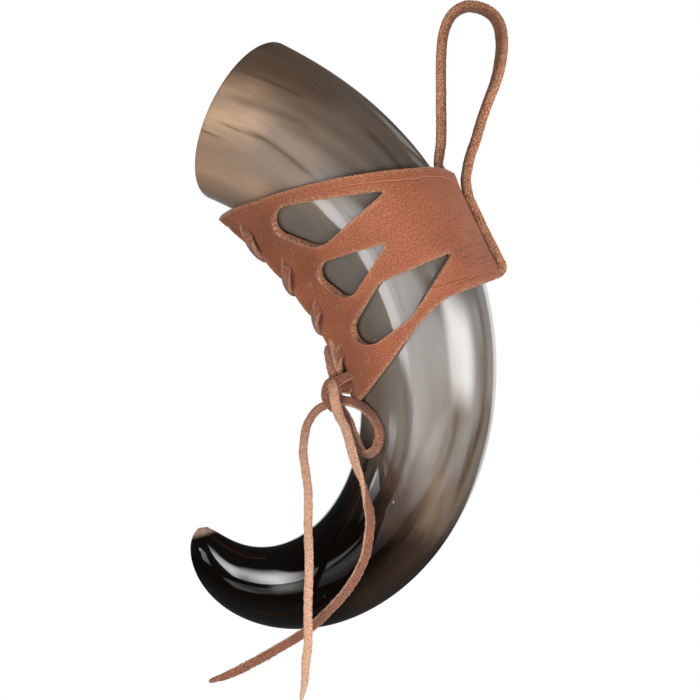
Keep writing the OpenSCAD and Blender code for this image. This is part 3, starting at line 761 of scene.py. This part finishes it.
def smooth_path(points, count):
    """Curve through given points, with points an even distance apart."""
    points = np.asarray(points, float)
    ends = np.vstack([2 * points[0] - points[1], points, 2 * points[-1] - points[-2]])
    t = np.linspace(0, 1, 24, endpoint=False)[:, None]
    runs = [b + (c - a) * t / 2 + (2 * a - 5 * b + 4 * c - d) * t ** 2 / 2
            + (3 * b - a - 3 * c + d) * t ** 3 / 2
            for a, b, c, d in zip(ends, ends[1:], ends[2:], ends[3:])]
    dense = np.vstack(runs + [points[-1:]])
    run = run_along(dense)
    places = np.linspace(0, run[-1], count)
    return columns(*(np.interp(places, run, dense[:, k]) for k in range(3)))


def way_along(path):
    """Way that a path takes at each of its points."""
    return unit(np.gradient(path, axis=0))


def strap(path, faces_to, wide, thick, ends=(1.0, 1.0), end_run=0.004, square=3.2, wobble=0.00018):
    """Points, faces and values of a flat strap along a path, its smooth face turned to the given ways."""
    wander_share, wander_grain, wander_shift, wobble_grain = 0.05, 190, 3.1, 800
    edge_from, edge_over, back_from, back_gain = 0.80, 0.16, 0.4, 2.2
    ring = np.linspace(0, 2 * math.pi, strap_sides, endpoint=False) + math.pi / strap_sides
    shape_x = np.sign(np.cos(ring)) * np.abs(np.cos(ring)) ** (2 / square)
    shape_y = np.sign(np.sin(ring)) * np.abs(np.sin(ring)) ** (2 / square)
    tangent = way_along(path)
    across = unit(np.cross(tangent, np.broadcast_to(faces_to, path.shape)))
    outward = np.cross(across, tangent)
    run = run_along(path)
    from_start = np.clip(run / end_run, 0, 1)
    from_end = np.clip((run[-1] - run) / end_run, 0, 1)
    narrow = ((ends[0] + (1 - ends[0]) * np.sqrt(from_start))
              * (ends[1] + (1 - ends[1]) * np.sqrt(from_end)))
    half_w, half_t = wide / 2 * narrow, thick / 2 * np.sqrt(narrow)
    half_w = half_w * (1 + wander_share * rough(path + wander_shift, wander_grain))
    points = (path[:, None] + (half_w[:, None] * shape_x)[..., None] * across[:, None]
              + (half_t[:, None] * shape_y)[..., None] * outward[:, None])
    spread = unit(points - path[:, None])
    bumps = (wobble * rough(points.reshape(-1, 3), wobble_grain)).reshape(points.shape[:2])
    points = points + bumps[..., None] * spread
    cut = np.tile(np.clip((np.abs(shape_x) - edge_from) / edge_over, 0, 1), len(path))
    cut[:strap_sides] = 1
    cut[-strap_sides:] = 1
    back = np.tile(np.clip(-shape_y * back_gain - back_from, 0, 1), len(path))
    sheet_place = columns(np.tile(shape_x * wide * 500 + shape_y * 0.4, len(path)),
                          np.repeat(run * 1000, strap_sides), np.tile(shape_y * thick * 500, len(path)))
    values = {"cut_edge": cut, "flesh": back, "sheet": sheet_place}
    return points.reshape(-1, 3), ring_faces(len(path), strap_sides), values


def toned(strap_data, share):
    """The strap with less of its pale back and edges showing: one share for all, or one for each ring."""
    points, faces, values = strap_data
    by_point = np.repeat(np.broadcast_to(share, len(points) // strap_sides), strap_sides)
    shown = {key: values[key] * by_point for key in ("flesh", "cut_edge")}
    return points, faces, {**values, **shown}


def joined(*parts):
    """Several pieces of mesh data as one."""
    points, faces, values = [], [], {}
    for part_points, part_faces, part_values in parts:
        start = sum(len(p) for p in points)
        points.append(part_points)
        faces += [tuple(v + start for v in f) for f in part_faces]
        for key, value in part_values.items():
            values.setdefault(key, []).append(value)
    return np.concatenate(points), faces, {key: np.concatenate(value) for key, value in values.items()}


def fuzz(path, reach, amount, seed):
    """Loose fibres that stand off a cut edge: thin spikes at chance places along a path."""
    root_half, root_back = 0.00007, 0.0001
    shortest, longest = 0.0003, 0.0009
    chance = np.random.default_rng(seed)
    points, faces = [], []
    tangent = way_along(path)
    for _ in range(amount):
        i = chance.integers(2, len(path) - 2)
        way = unit(chance.normal(size=3))
        way = unit(way - 0.6 * np.dot(way, tangent[i]) * tangent[i])
        root = path[i] + way * reach * chance.uniform(0.75, 1.0)
        tip = root + (way + 0.7 * chance.normal(size=3)) * chance.uniform(shortest, longest)
        side = unit(np.cross(way, tangent[i])) * root_half
        start = len(points)
        points += [root + side, root - side, root + tangent[i] * root_back, tip]
        faces += [(start, start + 1, start + 3), (start + 1, start + 2, start + 3),
                  (start + 2, start, start + 3), (start, start + 2, start + 1)]
    points = np.array(points)
    bare = np.ones(len(points))
    return points, faces, {"cut_edge": bare, "flesh": bare, "sheet": points * 1000}


lace_material, tree, shader = new_material("lace_leather")
sheet = field(tree, "sheet", "Vector")
speck = cloud(tree, sheet, 1.6, 6.0, 0.85)
colour = mixed(tree, cloud(tree, sheet, 0.25, 3.0), tone(139, 83, 60), tone(169, 106, 80))
colour = mixed(tree, eased(tree, speck, 0.5, 0.42, 0.0, 0.9), colour, tone(62, 33, 21))
colour = mixed(tree, eased(tree, speck, 0.53, 0.61, 0.0, 0.7), colour, tone(214, 153, 117))
fibre = mixed(tree, eased(tree, speck, 0.36, 0.54), tone(128, 77, 54), tone(255, 198, 160))
bare = sums(tree, "MAXIMUM", field(tree, "cut_edge"), field(tree, "flesh"))
bare = times(tree, bare, eased(tree, cloud(tree, sheet, 1.3, 5.0, 0.7), 0.2, 0.45, 0.6, 1.0))
colour = mixed(tree, bare, colour, fibre)
lay_in(tree, shader, {"Base Color": colour, "Roughness": 0.8, "Specular IOR Level": 0.25,
                      "Sheen Weight": 0.2, "Normal": relief(tree, speck, 0.9, 0.0009)})
winding, winding_along = wind_point(np.arange(first_turn, last_turn, turn_step))
lead = np.array([[-55.65, -3.0, -155.2], [-57.1, -5.5, -158.8]]) / 1000
lead_face = [-1, -0.5, 0.1]
winding_path = smooth_path(np.vstack([winding[::4], lead]), winding_count)
nearest = np.argmin(((winding_path[:, None] - winding[None]) ** 2).sum(-1), axis=1)
winding_face = unit(np.cross(way_along(winding_path), winding_along[nearest]))
lead_share = np.clip((np.arange(winding_count) - lead_from) / lead_blend, 0, 1)[:, None]
winding_face = (1 - lead_share) * winding_face + lead_share * lead_face
end_path = smooth_path(np.array([
    [-59.4, 2.5, -140.5], [-60.3, -0.5, -142.0], [-60.0, -3.0, -144.9], [-59.3, -5.2, -148.7],
    [-58.3, -6.6, -152.9], [-57.7, -6.4, -157.9]]) / 1000, count=60)
over_path = smooth_path(np.array([
    [-58.9, 0.5, -136.0], [-58.6, -3.0, -137.6], [-57.9, -4.6, -141.2], [-57.0, -5.6, -145.6],
    [-56.2, -6.0, -150.4], [-56.4, -5.6, -155.0]]) / 1000, count=50)
seam_lacing = make_mesh("seam_lacing", lace_material, *joined(
    toned(strap(winding_path, winding_face, wide=0.0040, thick=0.0025), 0.4),
    toned(strap(end_path, (0.35, 1, 0.3), wide=0.0038, thick=0.0021), 0.22),
    toned(strap(over_path, (-0.2, 1, 0.3), wide=0.0032, thick=0.0020, ends=(0.6, 1)), 0.5),
    fuzz(winding_path, reach=0.0017, amount=120, seed=3), fuzz(end_path, reach=0.0016, amount=16, seed=4)))
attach(seam_lacing, "holder")
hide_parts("seam_lacing")


# Lace stub: the other end of the lace, of the same flat leather. It comes out of its own hole in the
# front flap and goes into the knot.
lace_wide, lace_thick = 0.0039, 0.0024
stub_s, stub_angle = np.array([0.1395]), np.array([345.0])
stub_inside, stub_clear, stub_stand = 0.0019, 0.001, 0.0042
knot_from_seam = [-0.0085, -0.006, 0.0035]
knot_place = seam_edge(np.array([seam_bottom]))[0] + knot_from_seam
stub_mouth = leather_point(stub_s, stub_angle, 0)[0]
_, _, stub_inward, stub_side = horn_frame(stub_s)
stub_flap = np.radians(flap_angle(stub_s))
stub_out = (np.cos(stub_flap) * stub_inward - np.sin(stub_flap) * stub_side)[0]
stub_path = smooth_path([stub_mouth - stub_inside * stub_out, stub_mouth + stub_clear * stub_out,
                         stub_mouth + stub_stand * stub_out + [-0.0035, 0, -0.0035],
                         knot_place + [0.001, -0.003, 0.001]], count=40)
stub = make_mesh("lace_stub", lace_material, *joined(
    strap(stub_path, (0.3, -1, 0.3), lace_wide, lace_thick),
    fuzz(stub_path, reach=0.0017, amount=14, seed=5)))
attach(stub, "holder")
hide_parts("lace_stub")


# Knot: the two ends of the lace tied in a half bow under the seam. One turn of the lace goes round the
# strands on the left, one comes over the top and down the front, and one crosses behind to the bow.
def from_knot(points, count):
    """Curve through points given in mm from the knot."""
    return smooth_path(knot_place + np.array(points) / 1000, count)


round_path = from_knot([
    [3.0, -1.5, 7.0], [0.8, -3.6, 7.4], [-1.8, -4.4, 6.0], [-3.4, -3.8, 3.0], [-3.3, -3.3, -0.4],
    [-1.8, -3.6, -3.2], [0.6, -3.2, -4.8], [2.4, -1.0, -4.6]], count=60)
front_path = from_knot([
    [-1.8, -1.5, 6.6], [-0.6, -5.2, 5.4], [0.0, -6.5, 2.2], [0.6, -6.8, -2.0], [1.6, -7.2, -5.5],
    [2.7, -8.0, -9.0]], count=50)
core_path = from_knot([[-1, 0, 6], [0, 0, 1], [1, 0, -6]], count=20)
under_path = from_knot([[-0.5, 1.0, 5.0], [4.5, 0.5, 4.0], [7.4, 0.0, 2.8]], count=20)
round_face = unit(round_path - knot_place) - [0, 0.7, 0]
knot = make_mesh("lace_knot", lace_material, *joined(
    strap(round_path, round_face, wide=0.0036, thick=0.0024),
    toned(strap(front_path, (0.3, 1, -0.2), wide=0.0042, thick=0.0026),
          np.linspace(0.35, 0.9, len(front_path))),
    strap(under_path, (0, -1, 0.2), wide=0.0054, thick=0.0024, ends=(0.8, 0.6)),
    strap(core_path, (0, -1, 0), wide=0.0072, thick=0.0050, ends=(0.5, 0.5)),
    fuzz(core_path, reach=0.0045, amount=20, seed=9)))
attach(knot, "holder")
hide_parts("lace_knot")


# Bow: the lace doubled back through the knot, standing off the horn as a small loop on the right.
# Its smooth face is turned outward and to the front, and a pale cut edge shows inside the loop.
bow_path = from_knot([
    [1, -1, -1], [9, -5.5, -2.5], [14.5, -12, -6], [18, -16, -11], [19, -17.5, -16], [17.5, -17.5, -21],
    [14, -15, -23.5], [11, -11.5, -21], [8.5, -7, -15.5], [5.5, -3, -9], [2, -1, -4]], count=120)
bow_middle = bow_path.mean(0)
bow_outward, bow_forward = 0.66, np.array([0, -0.75, 0])
bow_face = bow_outward * unit((bow_path - bow_middle) * [1, 0, 1]) + bow_forward
bow_points, bow_faces, bow_values = strap(bow_path, bow_face, wide=0.0044, thick=lace_thick)
inner_depth, back_shown, inner_edge_shown, outer_edge_shown = 0.0008, 0.4, 0.9, 0.15
bow_reach = np.repeat(np.linalg.norm(bow_path - bow_middle, axis=1), strap_sides)
inner_side = np.linalg.norm(bow_points - bow_middle, axis=1) - bow_reach < -inner_depth
bow_values["flesh"] *= back_shown
bow_values["cut_edge"] *= np.where(inner_side, inner_edge_shown, outer_edge_shown)
bow = make_mesh("lace_bow", lace_material, *joined(
    (bow_points, bow_faces, bow_values), fuzz(bow_path, reach=0.0017, amount=30, seed=11)))
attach(bow, "holder")
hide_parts("lace_bow")


# Left tail: one free end of the lace, cut to a point. It hangs from the knot and turns its rough back
# to the front.
left_path = from_knot([
    [-1, -1, -2], [-7, -3, -5.5], [-11, -5, -11.5], [-12.5, -7, -19], [-12.5, -8, -25], [-11.5, -9, -31.5],
    [-10.5, -11, -39.5], [-10.5, -15, -54], [-10, -19, -68], [-10.5, -20.5, -84.5], [-10.5, -20, -101],
    [-11.5, -19, -109.5], [-12, -18, -118], [-13.5, -17, -125]], count=240)
left_share = np.linspace(0, 1, len(left_path))
left_sway = [0, -0.006, 0]
left_path = left_path + np.sin(np.pi * left_share[:, None]) ** 2 * left_sway
left_turn_over = 0.25
left_turn = np.clip(left_share / left_turn_over, 0, 1)
left_face = columns(-1.0 + 1.4 * left_turn, 0.2 + 0.8 * left_turn, 0 * left_turn)
left_strap = strap(left_path, left_face, wide=0.0036, thick=lace_thick, ends=(1, 0.25), end_run=0.016,
                   wobble=0.00026)
left_pale = np.interp(left_share, [0, 0.12, 0.34], [0.25, 0.35, 1])
tail_left = make_mesh("lace_tail_left", lace_material, *joined(
    toned(left_strap, left_pale), fuzz(left_path, reach=0.0018, amount=90, seed=13)))
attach(tail_left, "holder")
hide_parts("lace_tail_left")


# Right tail: the other free end, which swings out over the horn and back under the first. Its rough
# back is to the front at the top, and then it turns over to its smooth face.
right_path = from_knot([
    [0, -2, -4], [1.2, -6.4, -5.2], [2.9, -9.0, -8.8], [5, -12, -13], [7, -15, -20], [9, -17, -27],
    [12, -19, -35], [14, -21, -43.5], [15, -22, -49.5], [14.5, -22, -56.5], [13, -21, -65],
    [9.5, -20, -73], [5, -18.5, -80], [-1, -16, -87], [-8.5, -13, -94.5], [-15, -11, -99.5],
    [-24, -9, -105], [-34.5, -7, -111], [-43.5, -6, -115.5], [-52, -5, -118.5]], count=280)
right_share = np.linspace(0, 1, len(right_path))[:, None]
right_sway, sway_to = [0, -0.0075, 0], 0.75
right_path = right_path + np.sin(np.pi * np.clip(right_share / sway_to, 0, 1)) ** 2 * right_sway
turn_from, turn_over = 0.17, 0.15
right_turn = np.pi * (1 - np.clip((right_share - turn_from) / turn_over, 0, 1))
right_face = np.sin(right_turn) * [1, 0, 0] + np.cos(right_turn) * [0, -1, 0] + [0.35, 0, 0.1]
right_strap = strap(right_path, right_face, lace_wide, lace_thick, ends=(1, 0.3), end_run=0.014,
                    wobble=0.00026)
tail_right = make_mesh("lace_tail_right", lace_material, *joined(
    right_strap, fuzz(right_path, reach=0.0018, amount=90, seed=17)))
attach(tail_right, "holder")
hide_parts("lace_tail_right")


# Belt loop: a square-cut leather thong that stands up from the holder as a loop for the belt. One end
# goes in behind the upper edge of the leather and the other runs down outside the spine.
thong = 0.0044
tuck_gap, tuck_slack = 0.001, 0.0003
run_sink = 0.0006
tuck_start, tuck_above = np.array([spine_top]), 0.0012
run_start = np.array([0.084])
end_overlap = 0.0015
twist_most, twist_at, twist_over = math.radians(40), 0.55, 0.12


def spine_place(s, lift):
    """Place above the horn along its spine."""
    centre, _, inward, _ = horn_frame(s)
    return centre - (horn_radius(s) + lift)[..., None] * inward


def run_lift(s):
    """Height of the thong's middle above the horn, where it runs outside the leather."""
    return spine_standoff(s) + thong / 2 - run_sink


def tuck_lift(s):
    """Height of the thong's middle above the horn, where it is flattened under the leather."""
    return tuck_gap + np.minimum(thong / 2, (spine_standoff(s) - leather - tuck_gap - tuck_slack) / 2)


loop_start = spine_place(tuck_start - tuck_above, tuck_lift(tuck_start))[0]
loop_end = spine_place(run_start, run_lift(run_start))[0]
into_tuck = spine_place(tuck_start + end_overlap, tuck_lift(tuck_start + end_overlap))[0]
into_run = spine_place(run_start + end_overlap, run_lift(run_start + end_overlap))[0]
loop_route = np.array([
    [-13, 0, -54], [-13, 0, -37], [-13, 0, -20], [-12, 0, -9.5], [-9, 0, -2], [-4, 0, 1.8], [1, 0, 2.2],
    [7, 0, 0], [11, 0, -4.5], [12.5, 0, -12], [12, 0, -20], [10, 0, -29], [7, 0, -37], [4, 0, -45.5],
    [1.5, 0, -54], [-0.6, 0, -60], [-2.0, 0, -66], [-2.6, 0, -71.5]]) / 1000
loop_path = smooth_path(np.vstack([into_tuck, loop_start, loop_route, loop_end, into_run]), count=300)
loop_share = np.linspace(0, 1, len(loop_path))
loop_twist = twist_most * np.exp(-((loop_share - twist_at) / twist_over) ** 2)[:, None]
loop_out = unit(np.cross(np.gradient(loop_path, axis=0), (0, 1, 0)))
loop_face = np.cos(loop_twist) * loop_out + np.sin(loop_twist) * [0, 1, 0]
loop_strap = strap(loop_path, loop_face, wide=0.0046, thick=thong, ends=(0.5, 1), end_run=0.010,
                   square=4.5, wobble=0.00016)
thong_material, tree, shader = new_material("thong_leather")
sheet = field(tree, "sheet", "Vector")
speck = cloud(tree, sheet, 1.7, 7.0, 0.8)
mottle = eased(tree, cloud(tree, sheet, 0.2, 3.0), 0.35, 0.65)
colour = mixed(tree, mottle, tone(153, 95, 64), tone(180, 117, 83))
colour = mixed(tree, eased(tree, speck, 0.49, 0.42, 0.0, 0.9), colour, tone(64, 33, 19))
colour = mixed(tree, eased(tree, speck, 0.52, 0.60, 0.0, 0.9), colour, tone(246, 197, 153))
# The back of the thong, towards the horn and inside the loop, is darker.
colour = mixed(tree, times(tree, field(tree, "flesh"), 0.75), colour, tone(77, 42, 27))
lay_in(tree, shader, {"Base Color": colour, "Roughness": 0.82, "Specular IOR Level": 0.25,
                      "Sheen Weight": 0.15, "Normal": relief(tree, speck, 0.6, 0.0006)})
belt_loop = make_mesh("belt_loop", thong_material, *joined(
    loop_strap, fuzz(loop_path, reach=0.0024, amount=60, seed=19)))
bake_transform(belt_loop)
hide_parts("belt_loop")


# Run of the thong: from the loop down the outside of the spine, round the lower edge of the leather and
# up behind it. The other end is tucked in behind the upper edge. Friction under the leather holds both.
run_top, run_middle, run_bottom = 0.0845, np.array([0.095]), np.array([0.1075])
tuck_top, tuck_bottom = 0.0715, 0.082
under_run = 0.009
outer_count = 50
run_s = np.linspace(run_top, run_bottom[0], 20)
under_s = run_bottom - under_run * np.array([0.25, 0.5, 0.75, 1.0])
tuck_s = np.linspace(tuck_top, tuck_bottom, 16)
turn_out, turn_in = run_lift(run_bottom)[0], tuck_lift(run_bottom)[0]
_, turn_along, turn_inward, _ = horn_frame(run_bottom)
turn_middle = spine_place(run_bottom, np.array([(turn_out + turn_in) / 2]))
turn_t = np.linspace(0, math.pi, 10)[1:, None]
turn_way = np.sin(turn_t) * turn_along - np.cos(turn_t) * turn_inward
turn_path = turn_middle + (turn_out - turn_in) / 2 * turn_way
run_path = smooth_path(np.vstack([spine_place(run_s, run_lift(run_s)), turn_path,
                                  spine_place(under_s, tuck_lift(under_s))]), count=90)
run_out = -unit(horn_frame(run_middle)[2])
run_face = np.vstack([np.repeat(run_out, outer_count, 0), unit(run_path[outer_count:] - turn_middle)])
tuck_path = spine_place(tuck_s, tuck_lift(tuck_s))
thong_run = make_mesh("belt_thong_run", thong_material, *joined(
    strap(run_path, run_face, wide=thong, thick=thong, ends=(1, 0.5), end_run=0.012, square=4.0),
    strap(tuck_path, run_out[0], wide=0.0036, thick=0.0026, ends=(1, 0.5), end_run=0.008, square=4.0)))
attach(thong_run, "holder")
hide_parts("belt_thong_run", "belt_thong_tuck")


# Stage: a white floor well below the hanging horn, soft boxes that only the gloss shows, lamps that
# give the even light, and a camera straight at the front.
floor_half, floor_level = 4, -0.8
lit_spot = (-0.05, 0, -0.15)
view_x, view_z, view_width = -0.05124, -0.14196, 0.294
camera_distance, sensor_width = 1.5, 36


def flat_sheet(name, half_x, half_y, level, material):
    """Flat rectangle round the middle, at a level."""
    mesh = bpy.data.meshes.new(name)
    mesh.from_pydata([(-half_x, -half_y, level), (half_x, -half_y, level), (half_x, half_y, level),
                      (-half_x, half_y, level)], [], [(0, 1, 2, 3)])
    mesh.materials.append(material)
    return in_scene(name, mesh)


def surface(tree, output, shader_node):
    """Makes a shader the surface of a material or of the world."""
    tree.links.new(shader_node.outputs[0], tree.nodes[output].inputs["Surface"])


def aim(made, place, target, roll=0):
    """Puts a card or a lamp at a place, facing a target and rolled by some degrees."""
    made.location = place
    made.rotation_mode = "QUATERNION"
    facing = (Vector(target) - Vector(place)).to_track_quat("-Z", "Y")
    made.rotation_quaternion = facing @ Quaternion((0, 0, 1), math.radians(roll))


def soft_box(name, place, size, strength, fades, target=None, roll=0):
    """Glowing card that the gloss alone shows, fading in from its left, right, lower and upper edges."""
    straight = (place[0], 0, place[2])
    half_x, half_y = size[0] / 2, size[1] / 2
    left, right, low, high = fades
    material, tree, _ = new_material(name)
    spot = put(tree, "SeparateXYZ", {0: put(tree, "TexCoord", {}).outputs["Object"]})
    across, up = spot.outputs[0], spot.outputs[1]
    level = times(tree, eased(tree, across, -half_x, left - half_x),
                  eased(tree, across, half_x, half_x - right))
    level = times(tree, level, eased(tree, up, -half_y, low - half_y))
    level = times(tree, level, eased(tree, up, half_y, half_y - high, 0.0, strength))
    glow = put(tree, "Emission", {"Strength": level})
    clear = put(tree, "BsdfTransparent", {})
    both = put(tree, "AddShader", {0: glow.outputs[0], 1: clear.outputs[0]})
    surface(tree, "Material Output", both)
    card = flat_sheet(name, half_x, half_y, 0, material)
    aim(card, place, target or straight, roll)
    card.visible_camera = card.visible_diffuse = card.visible_shadow = False


def fill(name, place, size, power):
    """Lamp that lights the part evenly and isn't mirrored in it."""
    lamp = bpy.data.lights.new(name, "AREA")
    lamp.shape = "RECTANGLE"
    lamp.size, lamp.size_y = size
    lamp.energy = power
    box = in_scene(name, lamp)
    aim(box, place, lit_spot)
    box.visible_glossy = False


floor_material, tree, shader = new_material("pale_floor")
lay_in(tree, shader, {"Base Color": (0.12, 0.12, 0.12, 1), "Roughness": 0.9})
glow = put(tree, "Emission", {"Color": (1, 1, 1, 1), "Strength": 1.0})
seen = put(tree, "LightPath", {}).outputs["Is Camera Ray"]
both = put(tree, "MixShader", {0: seen, 1: shader.outputs[0], 2: glow.outputs[0]})
surface(tree, "Material Output", both)
flat_sheet("floor", floor_half, floor_half, floor_level, floor_material)
world = bpy.data.worlds.new("studio")
bpy.context.scene.world = world
world.use_nodes = True
tree = world.node_tree
dim = put(tree, "Background", {"Color": (0.95, 0.97, 1.0, 1), "Strength": 0.05})
white = put(tree, "Background", {"Color": (1, 1, 1, 1), "Strength": 1.0})
seen = put(tree, "LightPath", {}).outputs["Is Camera Ray"]
both = put(tree, "MixShader", {0: seen, 1: dim.outputs[0], 2: white.outputs[0]})
surface(tree, "World Output", both)
soft_box("front_panel", (0.335, -0.80, -0.39), (1.43, 0.36), 3.1, (0.02, 1.00, 0.06, 0.12))
soft_box("panel_top", (0.18, -0.80, -0.195), (1.12, 0.27), 3.4, (0.02, 0.05, 0.12, 0.10))
soft_box("panel_strip", (-0.14, -0.79, -0.28), (0.48, 0.18), 2.1, (0.02, 0.45, 0.05, 0.05))
soft_box("panel_edge", (-0.51, -0.79, -0.441), (0.54, 0.28), 8.0, (0.02, 0.25, 0.05, 0.03), roll=16)
soft_box("upper_box", (-0.34, -0.65, 0.16), (0.19, 0.66), 15.0, (0.04, 0.04, 0.02, 0.46),
         target=(-0.11, -0.02, -0.235))
soft_box("right_box", (0.748, -0.438, -0.13), (1.00, 0.46), 13.0, (0.32, 0.46, 0.14, 0.18),
         target=(-0.02, -0.03, -0.16))
soft_box("right_low", (0.775, -0.29, -0.48), (0.70, 0.40), 2.0, (0.15, 0.15, 0.15, 0.15),
         target=(-0.02, -0.03, -0.22))
soft_box("right_card", (0.86, -0.03, -0.15), (0.75, 0.50), 1.7, (0.2, 0.2, 0.1, 0.1),
         target=(-0.02, 0, -0.16))
soft_box("left_card", (-0.834, -0.489, -0.065), (0.34, 0.36), 3.4, (0.06, 0.06, 0.06, 0.06),
         target=(-0.02, 0, -0.19))
soft_box("left_spot", (-0.94, -0.34, 0.02), (0.12, 0.12), 9.0, (0.04, 0.04, 0.04, 0.04),
         target=(-0.03, 0, -0.19))
soft_box("back_card", (0.9, 0.9, 0.25), (1.0, 1.2), 0.7, (0.1, 0.1, 0.1, 0.1),
         target=(-0.03, 0, -0.12))
soft_box("back_panel", (0.10, 1.0, -0.15), (1.4, 0.7), 1.3, (0.1, 0.1, 0.1, 0.1),
         target=(-0.05, 0, -0.15))
fill("front_fill", (0.20, -0.95, -0.10), (0.9, 0.7), 2.0)
fill("low_fill", (0.10, -0.80, -0.45), (0.9, 0.4), 4.2)
fill("right_fill", (0.75, -0.40, -0.20), (0.5, 0.5), 4.4)
fill("left_fill", (-0.65, -0.75, -0.30), (0.6, 0.6), 5.4)
fill("back_fill", (0.9, 0.9, 0.25), (1.0, 1.2), 7.0)
fill("back_left_fill", (-0.8, 0.9, 0.15), (1.0, 1.0), 7.5)
camera_data = bpy.data.cameras.new("camera")
camera_data.sensor_width = sensor_width
camera_data.lens = sensor_width * camera_distance / view_width
camera = in_scene("camera", camera_data)
camera.location = (view_x, -camera_distance, view_z)
camera.rotation_euler = (math.pi / 2, 0, 0)
bpy.context.scene.camera = camera
bpy.context.scene.view_settings.view_transform = "Standard"
